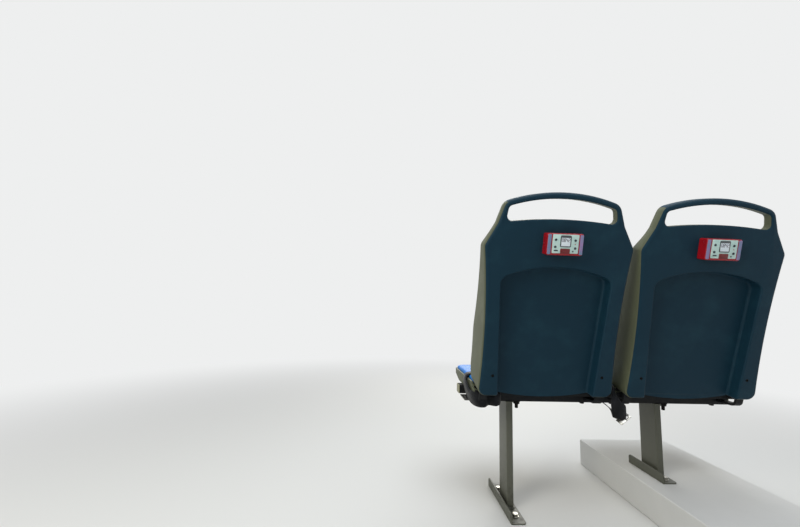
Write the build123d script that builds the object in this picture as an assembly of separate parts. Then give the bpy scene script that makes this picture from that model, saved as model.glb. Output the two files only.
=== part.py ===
"""Twin passenger seat of an open top double decker bus.

Two bucket seats stand side by side on one steel underframe: two square cross tubes, a leg
by the aisle and a shorter leg on the raised ledge by the wall.  Millimetres, +Z up,
+Y the way the bus travels, +X towards the wall.  The origin is the middle of the two bolt
holes in the aisle foot, on the floor.
"""
from build123d import *
from math import cos, radians, sin, tan
import os

os.makedirs("parts", exist_ok=True)

# Back, in its own upright frame: x across, y forwards from the rear face, z up the back
recline = 15.0                # lean of the back, degrees
back_foot_y = -145.0          # rear face of the back at its lower edge
back_foot_z = 380.0           # height of that edge
back_height = 631.0
back_half_foot = 215.0        # half width at the lower edge
waist_inset = 6.0             # the back is narrower here than at its foot
waist_z = 175.0
shoulder_flare = 11.0         # the shoulders stand this far outside the foot, each side
shoulder_drop = 66.0          # from the neck down to the shoulder
shoulder_radius = 25.0
neck_inset = 35.0             # from the shoulder in to the neck
neck_drop = 62.0              # from the corner of the hand hold down to the neck
neck_radius = 35.0
hold_inset = 55.0             # from the shoulder in to the corner of the hand hold
hold_crown = 31.0             # rise of the bar from its corners to its middle
hold_corner_radius = 34.0
hold_depth = 28.0             # front to back of the hand hold
hold_bar = 19.0               # height of its bar in the middle
back_corner_radius = 26.0
wing_root_drop = 26.0         # the side wings start this far below the slot and deepen downwards
wing_depth = 132.0
wing_knee_z = 188.0
wing_knee_radius = 120.0
wing_root_radius = 90.0
wing_foot_inset = 15.0        # the wings' lower corner stands back from their deepest point
wing_foot_radius = 70.0
wing_wall = 15.0
rear_edge_radius = 11.0
seam_depth = 3.5              # rear cover this side of the plane, front shell beyond it
seam_gap = 0.4
panel_front = 46.0            # front face of the back panel that carries the pad

# Hand-hold slot
slot_inset = 12.0             # material beside the slot at the corner of the hand hold
slot_flare = 7.0              # the slot is this much wider at its foot, each side
slot_bar_end = 14.0           # height of the bar at its ends
slot_height = 45.0            # at its ends
slot_foot_crown = 12.0
slot_corner_radius = 15.0
slot_edge_radius = 5.0

# Recess in the rear cover
recess_depth = 36.0
recess_wall = 4.0
recess_foot_inset = 65.0      # from the edge of the back
recess_top_inset = 58.0
recess_drop = 130.0           # from the foot of the slot down to the crown of the recess
recess_rise = 37.0            # of its arched top
recess_corner_radius = 30.0
recess_floor_radius = 8.0
recess_lip_radius = 5.0
recess_lip_drop = 15.0        # the recessed panel hangs this far below the rails in the middle
recess_lip_inset = 2.0
recess_lip_lap = 20.0         # the panel's foot runs this far up into it
cover_screw_inset = 43.0      # from the edge of the back
cover_screw_z = 69.0
cover_screw_radius = 3.2
cover_screw_depth = 2.5

# Back pad
back_pad_thickness = 30.0
back_pad_foot_z = 52.0
back_pad_drop = 71.0          # from the foot of the slot down to the pad's top
pad_gap = 0.4

# Places of the two seats
place_gap = 18.0              # between the shoulders of the two backs
aisle_leg_inset = 135.0       # middle of the aisle leg, from the side of the pan

# Pan
pan_side_inset = 1.0          # the pan is this much narrower than the foot of the back, each side
pan_front_y = 238.0
pan_rear_y = -98.0
pan_rim_z = 410.0
pan_skirt = 36.0              # height of the level skirt
pan_nose_run = 98.0           # the skirt rises over this length to the front lip
pan_nose_radius = 80.0
pan_lip = 8.0                 # height of the front lip
pan_lip_radius = 3.0
pan_corner_radius = 38.0
pan_rear_radius = 12.0
pan_wall = 5.0
pan_rim = 6.0
pan_rim_height = 8.0          # rim above the floor
pan_floor = 4.0
pan_back_clearance = 3.0
pan_rib = 3.0
pan_rib_depth = 9.0
pan_rib_spacing = 60.0
seat_pad_thickness = 19.0
seat_pad_edge_radius = 8.0

# Underframe
tube_depth = 40.0             # fore and aft
tube_height = 30.0
tube_wall = 3.0
tube_corner_radius = 3.0
bearer_height = 26.0
rear_tube_y = -22.0
front_tube_y = 81.0
front_tube_proud = 13.0       # aisle end, past the side of the pan
rear_tube_inset = 7.0         # aisle end, inside the side of the pan
tube_wall_proud = 5.0         # wall ends, past the side of the pan
cap_thickness = 3.0
cap_plug = 12.0
cap_gap = 0.6
leg_depth = 80.0              # fore and aft
leg_width = 22.0
leg_wall = 2.5
leg_corner_radius = 3.0
leg_mid_y = -2.0
foot_thickness = 4.0
foot_wall_side = 22.0         # floor flange of the aisle foot, from the leg's middle
foot_aisle_side = 26.0
foot_flange_height = 30.0
foot_rear_y = -126.0
foot_front_y = 122.0
foot_corner_radius = 10.0
foot_bolt_spacing = 170.0
foot_bolt_radius = 5.5
wall_leg_inset = 34.0         # from the middle of the window place
wall_foot_z = 101.0
wall_foot_length = 170.0
wall_foot_bolt_spacing = 115.0
bearer_inset = 96.0           # middle of a bearer, from the side of the pan
bearer_width = 30.0
bearer_wall = 3.0
bearer_overhang = 14.0
arm_inset = 26.0              # middle of an arm, from the edge of the back
arm_width = 24.0
arm_thickness = 8.0
arm_mid_depth = 30.0          # in the back's frame
arm_top_z = 140.0
arm_bend = 18.0
arm_pocket_gap = 0.5

# Audio guide box on the rear of each back
box_width = 106.0
box_height = 63.0
box_depth = 28.0
box_drop = 59.0               # its middle, below the foot of the slot
box_corner = 5.0
box_front_radius = 3.0
face_width = 76.0
face_height = 54.0
face_thickness = 1.5
face_rise = 2.0               # its middle, above the middle of the box
face_corner = 2.5

# Lap belts
belt_width = 46.0
belt_thickness = 2.0
belt_mid_y = 22.0
belt_side_gap = 4.0
belt_rest_gap = 0.3
belt_bend = 9.0
belt_fold = 6.0
belt_slack = 22.0
belt_tail = 4.0
belt_run = 96.0               # from the pan's side to the buckle, over the pad
buckle_length = 64.0
buckle_width = 50.0
buckle_height = 22.0
buckle_radius = 5.0
tongue_grip = 24.0
tongue_overlap = 2.0          # the grip is this much wider than the strap, each side
tongue_length = 30.0
tongue_width = 26.0
tongue_thickness = 11.0
tongue_plate = 2.5
tongue_radius = 3.0
anchor_thickness = 4.0
anchor_length = 52.0
anchor_margin = 7.0
anchor_edge = 9.0
anchor_slot_gap = 0.3

overrun = 10.0                # cutters and trimming blocks run this far past what they cut

# Heights up the back, from its top down
hold_corner_z = back_height - hold_crown
slot_corner_z = hold_corner_z - slot_bar_end
slot_foot_z = slot_corner_z - slot_height
neck_z = hold_corner_z - neck_drop
shoulder_z = neck_z - shoulder_drop
wing_root_z = slot_foot_z - wing_root_drop
recess_crown_z = slot_foot_z - recess_drop
recess_corner_z = recess_crown_z - recess_rise
back_pad_top_z = slot_foot_z - back_pad_drop
box_z = slot_foot_z - box_drop

# Half widths of the back and of what stands in it
back_half_shoulder = back_half_foot + shoulder_flare
back_half_waist = back_half_foot - waist_inset
neck_half = back_half_shoulder - neck_inset
hold_half = back_half_shoulder - hold_inset
slot_half_top = hold_half - slot_inset
slot_half_foot = slot_half_top + slot_flare
recess_half_foot = back_half_foot - recess_foot_inset
recess_half_top = back_half_shoulder - recess_top_inset
cover_screw_x = back_half_foot - cover_screw_inset
arm_x = back_half_foot - arm_inset
back_reach = back_half_shoulder + overrun

# Levels of the pan and the underframe
pan_half = back_half_foot - pan_side_inset
bearer_x = pan_half - bearer_inset
pan_floor_top = pan_rim_z - pan_rim_height
pan_floor_under = pan_floor_top - pan_floor
pan_skirt_z = pan_rim_z - pan_skirt
pan_nose_y = pan_front_y - pan_nose_run
seat_pad_top = pan_floor_top + seat_pad_thickness
tube_top_z = pan_floor_under - bearer_height
tube_foot_z = tube_top_z - tube_height
tube_mid_z = tube_top_z - tube_height / 2

# Places across the bus
seat_pitch = 2 * back_half_shoulder + place_gap
aisle_seat_x = pan_half - aisle_leg_inset
window_seat_x = aisle_seat_x + seat_pitch
front_tube_start_x = aisle_seat_x - pan_half - front_tube_proud
rear_tube_start_x = aisle_seat_x - pan_half + rear_tube_inset
tube_end_x = window_seat_x + pan_half + tube_wall_proud
wall_leg_x = window_seat_x - wall_leg_inset
seats = {"aisle": aisle_seat_x, "window": window_seat_x}


def put_back(shape, seat_x):
    """Lean a shape of the back's own frame and set it on its place."""
    return Pos(seat_x, back_foot_y, back_foot_z) * Rot(recline, 0, 0) * shape


def upright(face, start, end):
    """Extrude a face drawn in x and z forwards, from one depth to another."""
    return Pos(0, start, 0) * extrude(Plane.XZ * face, amount=start - end)


def across(face, start, end):
    """Extrude a face drawn in y and z towards the wall, from one x to another."""
    return Pos(start, 0, 0) * extrude(Plane.YZ * face, amount=end - start)


def block(x, y, z):
    """Box between the two limits given for each axis."""
    size = (x[1] - x[0], y[1] - y[0], z[1] - z[0])
    middle = ((x[0] + x[1]) / 2, (y[0] + y[1]) / 2, (z[0] + z[1]) / 2)
    return Pos(*middle) * Box(*size)


def closed(edges, corners):
    """Face inside a loop of edges, with the corners (x, z, radius) rounded."""
    face = make_face(edges)
    for x, z, radius in corners:
        vertex = face.vertices().sort_by_distance((x, z, 0))[0]
        face = fillet(vertex, radius)
    return face


def symmetric(right, top, foot, corners):
    """Face from its right side, bottom up, with the left side mirrored."""
    left = [mirror(edge, about=Plane.YZ) for edge in right]
    both = corners + [(-x, z, radius) for x, z, radius in corners]
    return closed(right + left + [top, foot], both)


def back_outline():
    """Front view of the back: waist, shoulders, neck and arched hand hold."""
    shoulder = (back_half_shoulder, shoulder_z)
    neck = (neck_half, neck_z)
    corner = (hold_half, hold_corner_z)
    right = [
        ThreePointArc((back_half_foot, 0), (back_half_waist, waist_z), shoulder),
        Line(shoulder, neck),
        Line(neck, corner),
    ]
    top = ThreePointArc(corner, (0, back_height), (-hold_half, hold_corner_z))
    foot = Line((-back_half_foot, 0), (back_half_foot, 0))
    corners = [
        (back_half_foot, 0, back_corner_radius),
        (*shoulder, shoulder_radius),
        (*neck, neck_radius),
        (*corner, hold_corner_radius),
    ]
    return symmetric(right, top, foot, corners)


def back_side():
    """Side view of the back, y forwards: hand hold, then wings that deepen downwards."""
    points = [
        (0, 0),
        (wing_depth - wing_foot_inset, 0),
        (wing_depth, wing_knee_z),
        (hold_depth, wing_root_z),
        (hold_depth, back_height + overrun),
        (0, back_height + overrun),
    ]
    radii = [0, wing_foot_radius, wing_knee_radius, wing_root_radius, 0, 0]
    return make_face(FilletPolyline(*points, radius=radii, close=True))


def slot_outline():
    """Hand-hold slot, crowned like the bar above it."""
    foot_corner = (slot_half_foot, slot_foot_z)
    top_corner = (slot_half_top, slot_corner_z)
    right = [Line(foot_corner, top_corner)]
    top = ThreePointArc(top_corner, (0, back_height - hold_bar), (-slot_half_top, slot_corner_z))
    foot = ThreePointArc((-slot_half_foot, slot_foot_z), (0, slot_foot_z + slot_foot_crown), foot_corner)
    corners = [(*foot_corner, slot_corner_radius), (*top_corner, slot_corner_radius)]
    return symmetric(right, top, foot, corners)


def recess_outline(grow):
    """Arched recess of the rear cover, open at its foot."""
    foot_corner = (recess_half_foot + grow, -overrun)
    top_corner = (recess_half_top + grow, recess_corner_z + grow)
    crown = (0, recess_crown_z + grow)
    right = [Line(foot_corner, top_corner)]
    top = ThreePointArc(top_corner, crown, (-top_corner[0], top_corner[1]))
    foot = Line((-foot_corner[0], -overrun), foot_corner)
    return symmetric(right, top, foot, [(*top_corner, recess_corner_radius + grow)])


def recess_space():
    """Room of the recess, rounded where its walls meet its floor."""
    space = upright(recess_outline(0), -overrun, recess_depth)
    floor = space.faces().sort_by(Axis.Y)[-1]
    return fillet(floor.edges().filter_by(lambda edge: edge.center().Z > 0), recess_floor_radius)


def back_body():
    """Whole back before it is parted into rear cover and front shell."""
    body = upright(back_outline(), 0, wing_depth + overrun) & across(back_side(), -back_reach, back_reach)
    body = fillet(body.edges().filter_by_position(Axis.Y, -0.01, 0.01), rear_edge_radius)
    cavity = offset(back_outline(), -wing_wall)
    cavity_foot = Pos(0, wing_wall) * Rectangle(2 * (back_half_foot - wing_wall), 4 * wing_wall)
    body -= upright(cavity + cavity_foot, panel_front, wing_depth + overrun)
    body -= upright(slot_outline(), -overrun, wing_depth)
    return body - recess_space()


def slot_edges(body, depth):
    """Edges of the hand-hold slot on the face at one depth."""
    low = slot_foot_z - slot_edge_radius
    high = back_height - hold_bar + slot_edge_radius / 2
    edges = body.edges().filter_by(
        lambda edge: abs(edge.center().Y - depth) < 0.01 and low < edge.center().Z < high)
    ends = edges.filter_by(lambda edge: abs(edge.center().X) < slot_half_foot and edge.center().Z < slot_corner_z)
    return ends + edges.filter_by(lambda edge: abs(edge.center().X) < 1 and edge.center().Z > slot_corner_z)


def recess_lip_edges(body):
    """Rear edges of the recess, where its walls meet the face of the rails."""
    return body.edges().filter_by(
        lambda edge: abs(edge.center().Y) < 0.01 and 0 < edge.center().Z < recess_crown_z + recess_lip_radius
        and abs(edge.center().X) < recess_half_top + recess_lip_radius)


def cover_zone(grow):
    """Space of the rear cover: its rim, and the tray of the recess."""
    rim = block((-back_reach, back_reach), (-overrun, seam_depth + grow), (-overrun, back_height + overrun))
    tray = upright(recess_outline(recess_wall + grow), -overrun, recess_depth + recess_wall + grow)
    return rim + tray


def recess_lip():
    """Rounded foot of the recessed panel, which hangs below the rails."""
    half = recess_half_foot - recess_lip_inset
    face = make_face([
        Line((half, 0), (half, recess_lip_lap)),
        Line((half, recess_lip_lap), (-half, recess_lip_lap)),
        Line((-half, recess_lip_lap), (-half, 0)),
        ThreePointArc((-half, 0), (0, -recess_lip_drop), (half, 0)),
    ])
    return upright(face, recess_depth, recess_depth + recess_wall)


def back_point(depth, height):
    """Place in y and z of a point of the back's own frame."""
    lean = radians(recline)
    return (back_foot_y + depth * cos(lean) - height * sin(lean),
            back_foot_z + depth * sin(lean) + height * cos(lean))


def arm_path():
    """Middle line of an upright arm, from the rear tube up into the back."""
    foot_y, foot_z = back_point(arm_mid_depth, 0)
    bend_y = foot_y + (foot_z - tube_mid_z) * tan(radians(recline))
    start_y = rear_tube_y - tube_depth / 2
    top = back_point(arm_mid_depth, arm_top_z)
    return FilletPolyline((start_y, tube_mid_z), (bend_y, tube_mid_z), top, radius=[arm_bend])


def arm(x):
    """Bent steel arm that carries the back."""
    face = trace(arm_path(), line_width=arm_thickness)
    return across(face, x - arm_width / 2, x + arm_width / 2)


def arm_pocket(x):
    """Pocket for an arm in the front shell, in the back's own frame."""
    half = arm_width / 2 + arm_pocket_gap
    reach = arm_thickness / 2 + arm_pocket_gap
    return block((x - half, x + half), (arm_mid_depth - reach, arm_mid_depth + reach),
                 (-overrun, arm_top_z + arm_pocket_gap))


def build_back():
    """Rear cover and front shell, in the back's own frame."""
    body = back_body()
    body = fillet(slot_edges(body, 0), slot_edge_radius)
    body = fillet(slot_edges(body, hold_depth), slot_edge_radius)
    body = fillet(recess_lip_edges(body), recess_lip_radius)
    cover = (body & cover_zone(0)) + recess_lip()
    shell = body - cover_zone(seam_gap)
    for side in (-1, 1):
        head = Pos(side * cover_screw_x, cover_screw_depth / 2, cover_screw_z) * Rot(90, 0, 0)
        cover -= head * Cylinder(cover_screw_radius, cover_screw_depth)
        shell -= arm_pocket(side * arm_x)
    return cover, shell


def back_pad():
    """Pad on the front of the back, in the back's own frame."""
    face = offset(back_outline(), -wing_wall - pad_gap)
    rear = panel_front + pad_gap
    room = block((-back_reach, back_reach), (rear, rear + back_pad_thickness),
                 (back_pad_foot_z, back_pad_top_z))
    return upright(face, 0, wing_depth) & room


def pan_outline(inset):
    """Top view of the pan."""
    half = pan_half - inset
    front = pan_front_y - inset
    rear = pan_rear_y + inset
    points = [(half, rear), (half, front), (-half, front), (-half, rear)]
    corner = pan_corner_radius - inset
    radii = [pan_rear_radius, corner, corner, pan_rear_radius]
    return make_face(FilletPolyline(*points, radius=radii, close=True))


def pan_side():
    """Side view of the pan: level skirt, rising to a thin front lip."""
    points = [
        (pan_rear_y, pan_skirt_z),
        (pan_nose_y, pan_skirt_z),
        (pan_front_y, pan_rim_z - pan_lip),
        (pan_front_y, pan_rim_z),
        (pan_rear_y, pan_rim_z),
    ]
    radii = [0, pan_nose_radius, pan_lip_radius, pan_lip_radius, 0]
    return make_face(FilletPolyline(*points, radius=radii, close=True))


def wing_space():
    """Space of the two wings of the back, with a clearance, for the pan and its pad."""
    face = offset(back_side(), pan_back_clearance)
    inner = back_half_foot - wing_wall - pan_back_clearance
    return put_back(across(face, -back_reach, -inner) + across(face, inner, back_reach), 0)


def build_pan():
    """Pan shell: skirt, rim, floor with ribs, open underneath."""
    pan = extrude(pan_outline(0), amount=pan_rim_z) & across(pan_side(), -pan_half, pan_half)
    pan -= Pos(0, 0, pan_floor_top) * extrude(pan_outline(pan_rim), amount=pan_rim_height + overrun)
    pan -= extrude(pan_outline(pan_wall), amount=pan_floor_under)
    for x in (-pan_rib_spacing, 0, pan_rib_spacing):
        pan += block((x - pan_rib / 2, x + pan_rib / 2), (pan_rear_y + pan_wall, pan_nose_y),
                     (pan_floor_under - pan_rib_depth, pan_floor_under))
    return pan - wing_space()


def seat_pad():
    """Pad in the pan, crowned at its edge."""
    pad = extrude(pan_outline(pan_rim + pad_gap), amount=seat_pad_thickness - pad_gap)
    pad = fillet(pad.faces().sort_by(Axis.Z)[-1].edges(), seat_pad_edge_radius)
    return Pos(0, 0, pan_floor_top + pad_gap) * pad - wing_space()


def tube_face(width, height):
    """Section of a rectangular cross tube, solid."""
    return fillet(Rectangle(width, height).vertices(), tube_corner_radius)


def cross_tube(start_x, end_x, y):
    """Rectangular cross tube under the seats."""
    inner = Rectangle(tube_depth - 2 * tube_wall, tube_height - 2 * tube_wall)
    return across(Pos(y, tube_mid_z) * (tube_face(tube_depth, tube_height) - inner), start_x, end_x)


def tube_cap(x, y, outward):
    """Plastic plug in the end of a cross tube, with its plate outside."""
    shrink = 2 * tube_wall + cap_gap
    plug = Rectangle(tube_depth - shrink, tube_height - shrink)
    ends = sorted((x, x + outward * cap_thickness))
    inside = sorted((x, x - outward * cap_plug))
    place = Pos(y, tube_mid_z)
    return across(place * tube_face(tube_depth, tube_height), *ends) + across(place * plug, *inside)


def flat_tube(depth):
    """Section of the flat tube of the legs and links: outside and bore."""
    outer = fillet(Rectangle(leg_width, depth).vertices(), leg_corner_radius)
    return outer - Rectangle(leg_width - 2 * leg_wall, depth - 2 * leg_wall)


def leg(x, foot_z):
    """Leg of flat rectangular tube from its foot up to the rear tube."""
    base = foot_z + foot_thickness
    return Pos(x, leg_mid_y, base) * extrude(flat_tube(leg_depth), amount=tube_foot_z - base)


def tube_link(x):
    """Short fore and aft tube between the two cross tubes, above a leg."""
    return upright(Pos(x, tube_mid_z) * flat_tube(tube_height), rear_tube_y + tube_depth / 2,
                   front_tube_y - tube_depth / 2)


def angle_foot(x, z, rear_y, front_y, spacing):
    """Angle foot: floor flange with two bolt holes, and an upstand on the aisle side."""
    floor = block((x - foot_aisle_side, x + foot_wall_side), (rear_y, front_y), (z, z + foot_thickness))
    floor = fillet(floor.edges().filter_by(Axis.Z).group_by(Axis.X)[-1], foot_corner_radius)
    top = z + foot_flange_height
    points = [(rear_y, z), (front_y, z), (front_y, top), (rear_y, top)]
    radii = [0, 0, foot_corner_radius, foot_corner_radius]
    face = make_face(FilletPolyline(*points, radius=radii, close=True))
    foot = floor + across(face, x - foot_aisle_side, x - foot_aisle_side + foot_thickness)
    for side in (-1, 1):
        hole = Cylinder(foot_bolt_radius, 2 * foot_thickness)
        foot -= Pos(x, side * spacing / 2, z + foot_thickness / 2) * hole
    return foot


def bearer(x):
    """Hat section bearer, fore and aft between the cross tubes and a pan."""
    rear = rear_tube_y - tube_depth / 2 - bearer_overhang
    front = front_tube_y + tube_depth / 2 + bearer_overhang
    half = bearer_width / 2
    outer = block((x - half, x + half), (rear, front), (tube_top_z, pan_floor_under))
    inner = block((x - half + bearer_wall, x + half - bearer_wall), (rear - overrun, front + overrun),
                  (tube_top_z - overrun, pan_floor_under - bearer_wall))
    return outer - inner


def belt_path(side, slack):
    """Middle line of one lap belt strap, in x and z from the middle of its place."""
    edge = pan_half + belt_side_gap
    top = seat_pad_top + belt_rest_gap + belt_thickness / 2
    low = tube_foot_z - anchor_thickness - belt_tail
    end = edge - belt_run
    points = [(end, top), (edge, top), (edge, low - slack)]
    radii = [belt_bend]
    if slack:
        away = edge - 2 * belt_fold
        points += [(away, low - slack), (away, low)]
        radii += [belt_fold * 0.98, belt_fold * 0.98]
    return FilletPolyline(*[(side * x, z) for x, z in points], radius=radii)


def belt_strap(side, slack):
    """Webbing of one lap belt strap."""
    face = trace(belt_path(side, slack), line_width=belt_thickness)
    return upright(face, belt_mid_y - belt_width / 2, belt_mid_y + belt_width / 2)


def belt_anchor(side, slack):
    """Steel anchor plate under the rear tube, with the slot that the strap passes."""
    slot_x = pan_half + belt_side_gap - (2 * belt_fold if slack else 0)
    ends = sorted((side * (slot_x - anchor_length), side * (slot_x + anchor_edge)))
    front = belt_mid_y + belt_width / 2 + anchor_margin
    plate = block(ends, (rear_tube_y, front), (tube_foot_z - anchor_thickness, tube_foot_z))
    half = belt_thickness / 2 + anchor_slot_gap
    wide = belt_width / 2 + anchor_slot_gap
    slot = block(sorted((side * (slot_x - half), side * (slot_x + half))),
                 (belt_mid_y - wide, belt_mid_y + wide),
                 (tube_foot_z - anchor_thickness - overrun, tube_foot_z + overrun))
    return plate - slot


def belt_buckle(side):
    """Buckle that lies on the pad at the end of a strap."""
    start = pan_half + belt_side_gap - belt_run
    x = sorted((side * start, side * (start - buckle_length)))
    z = seat_pad_top + belt_rest_gap
    body = block(x, (belt_mid_y - buckle_width / 2, belt_mid_y + buckle_width / 2), (z, z + buckle_height))
    return fillet(body.edges(), buckle_radius)


def belt_tongue(side):
    """Tongue with its moulded grip, on the pad at the end of the other strap."""
    start = pan_half + belt_side_gap - belt_run
    x = sorted((side * start, side * (start - tongue_grip)))
    z = seat_pad_top + belt_rest_gap
    half = belt_width / 2 + tongue_overlap
    grip = block(x, (belt_mid_y - half, belt_mid_y + half), (z, z + tongue_thickness))
    grip = fillet(grip.edges(), tongue_radius)
    blade_x = sorted((side * (start - tongue_grip), side * (start - tongue_grip - tongue_length)))
    blade_z = z + tongue_thickness / 2
    blade = block(blade_x, (belt_mid_y - tongue_width / 2, belt_mid_y + tongue_width / 2),
                  (blade_z - tongue_plate / 2, blade_z + tongue_plate / 2))
    return grip + blade


def audio_box():
    """Housing of the audio guide on the rear cover, in the back's own frame."""
    box = Pos(0, -box_depth / 2, box_z) * Box(box_width, box_depth, box_height)
    box = fillet(box.edges().filter_by(Axis.Y), box_corner)
    return fillet(box.faces().sort_by(Axis.Y)[0].edges(), box_front_radius)


def audio_face():
    """Front plate of the audio guide."""
    place = Pos(0, -box_depth - face_thickness / 2, box_z + face_rise)
    plate = place * Box(face_width, face_thickness, face_height)
    return fillet(plate.edges().filter_by(Axis.Y), face_corner)


parts = {}
back_cover, back_shell = build_back()
pan_shell = build_pan()
for name, seat_x in seats.items():
    parts[f"{name}_back_cover"] = put_back(back_cover, seat_x)
    parts[f"{name}_back_shell"] = put_back(back_shell, seat_x)
    parts[f"{name}_back_pad"] = put_back(back_pad(), seat_x)
    parts[f"{name}_pan_shell"] = Pos(seat_x, 0, 0) * pan_shell
    parts[f"{name}_seat_pad"] = Pos(seat_x, 0, 0) * seat_pad()
    for label, side in (("left", -1), ("right", 1)):
        slack = belt_slack if (name, label) == ("window", "left") else 0
        parts[f"{name}_bearer_{label}"] = Pos(seat_x, 0, 0) * bearer(side * bearer_x)
        parts[f"{name}_back_arm_{label}"] = Pos(seat_x, 0, 0) * arm(side * arm_x)
        parts[f"{name}_belt_anchor_{label}"] = Pos(seat_x, 0, 0) * belt_anchor(side, slack)
        parts[f"{name}_belt_strap_{label}"] = Pos(seat_x, 0, 0) * belt_strap(side, slack)
    parts[f"{name}_belt_buckle"] = Pos(seat_x, 0, 0) * belt_buckle(-1)
    parts[f"{name}_belt_tongue"] = Pos(seat_x, 0, 0) * belt_tongue(1)
    parts[f"{name}_audio_box"] = put_back(audio_box(), seat_x)
    parts[f"{name}_audio_face"] = put_back(audio_face(), seat_x)

parts["rear_tube"] = cross_tube(rear_tube_start_x, tube_end_x, rear_tube_y)
parts["front_tube"] = cross_tube(front_tube_start_x, tube_end_x, front_tube_y)
parts["rear_tube_cap_aisle"] = tube_cap(rear_tube_start_x, rear_tube_y, -1)
parts["rear_tube_cap_wall"] = tube_cap(tube_end_x, rear_tube_y, 1)
parts["front_tube_cap_aisle"] = tube_cap(front_tube_start_x, front_tube_y, -1)
parts["front_tube_cap_wall"] = tube_cap(tube_end_x, front_tube_y, 1)
parts["tube_link_aisle"] = tube_link(0)
parts["tube_link_wall"] = tube_link(wall_leg_x)
parts["aisle_leg"] = leg(0, 0)
parts["wall_leg"] = leg(wall_leg_x, wall_foot_z)
parts["aisle_foot"] = angle_foot(0, 0, foot_rear_y, foot_front_y, foot_bolt_spacing)
parts["wall_foot"] = angle_foot(wall_leg_x, wall_foot_z, -wall_foot_length / 2, wall_foot_length / 2,
                                wall_foot_bolt_spacing)

for name, shape in parts.items():
    export_step(shape, f"parts/{name}.step")
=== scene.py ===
"""Twin passenger seat of an open top double decker bus, dressed around its fixed frame of solids.

Two bucket seats on one steel underframe, seen low from the aisle behind them.  Metres, +Z up, +Y the way
the bus travels, +X towards the wall.  The origin is the middle of the two bolts of the aisle foot.
"""

import logging
from dataclasses import dataclass, field
from enum import Enum
from math import cos, pi, radians, sin
from typing import Callable, Iterable, Sequence

import bmesh
import bpy
from mathutils import Matrix, Vector

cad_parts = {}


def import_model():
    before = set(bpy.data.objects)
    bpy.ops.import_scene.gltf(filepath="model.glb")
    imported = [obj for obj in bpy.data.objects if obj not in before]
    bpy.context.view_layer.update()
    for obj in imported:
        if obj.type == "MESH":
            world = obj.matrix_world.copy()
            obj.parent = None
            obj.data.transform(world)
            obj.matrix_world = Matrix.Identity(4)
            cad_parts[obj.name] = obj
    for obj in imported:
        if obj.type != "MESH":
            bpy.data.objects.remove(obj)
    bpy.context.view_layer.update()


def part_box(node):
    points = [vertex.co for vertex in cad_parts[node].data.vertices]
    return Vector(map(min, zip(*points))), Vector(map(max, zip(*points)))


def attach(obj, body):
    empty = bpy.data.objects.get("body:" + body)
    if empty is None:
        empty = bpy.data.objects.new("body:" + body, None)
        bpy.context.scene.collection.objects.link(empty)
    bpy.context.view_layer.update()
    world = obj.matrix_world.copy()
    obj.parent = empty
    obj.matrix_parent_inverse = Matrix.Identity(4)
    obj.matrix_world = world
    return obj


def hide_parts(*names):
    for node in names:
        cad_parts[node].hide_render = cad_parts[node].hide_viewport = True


log = logging.getLogger("twin_seat")

MM = 0.001
BODY = "root"
RECLINE = radians(15.0)
BACK_FOOT = Vector((0.0, -145 * MM, 380 * MM))
PLACES = ("aisle", "window")
SIDES = {"left": -1, "right": 1}
# Sockets of the Mix node for colours: its factor, both colours and its result.
MIX_FACTOR, MIX_FIRST, MIX_SECOND, MIX_RESULT = 0, 6, 7, 2
# Edges that turn more than this many degrees stay sharp, on solids, on small parts and on soft ones.
SOLID_CREASE, SMALL_CREASE, SOFT_CREASE = 32.0, 40.0, 60.0
# A face looks along a direction where the cosine between the two is more than this.
FACING = 0.9
# Corners nearer than this are one corner, and faces that turn less than this are one face.
MERGE = 0.01 * MM
FLAT = radians(0.3)


def mm(*values: float) -> tuple[float, ...]:
    """Turn millimetres into metres."""
    return tuple(value * MM for value in values)


def linear(colour: str) -> tuple[float, float, float, float]:
    """Turn an sRGB hex colour into linear light.

    Args:
        colour: six hex digits after a hash sign.

    Returns:
        Red, green, blue and an alpha of 1.
    """
    parts = [int(colour[start:start + 2], 16) / 255 for start in (1, 3, 5)]
    light = [part / 12.92 if part <= 0.04045 else ((part + 0.055) / 1.055) ** 2.4 for part in parts]
    return (*light, 1.0)


class Axis(Enum):
    """Axis that a cut stands square to."""

    X = 0
    Y = 1
    Z = 2


def add_node(tree: bpy.types.NodeTree, kind: str, settings: dict | None = None,
             inputs: dict | None = None) -> bpy.types.Node:
    """Add a node to a tree.

    Args:
        tree: the tree.
        kind: the node's type.
        settings: its own settings, by name.
        inputs: what goes into its sockets, by their name or number: a value, or another node's output.

    Returns:
        The new node.
    """
    node = tree.nodes.new(kind)
    for name, value in (settings or {}).items():
        setattr(node, name, value)
    for socket, value in (inputs or {}).items():
        if isinstance(value, bpy.types.NodeSocket):
            tree.links.new(value, node.inputs[socket])
        else:
            node.inputs[socket].default_value = value
    return node


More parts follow.
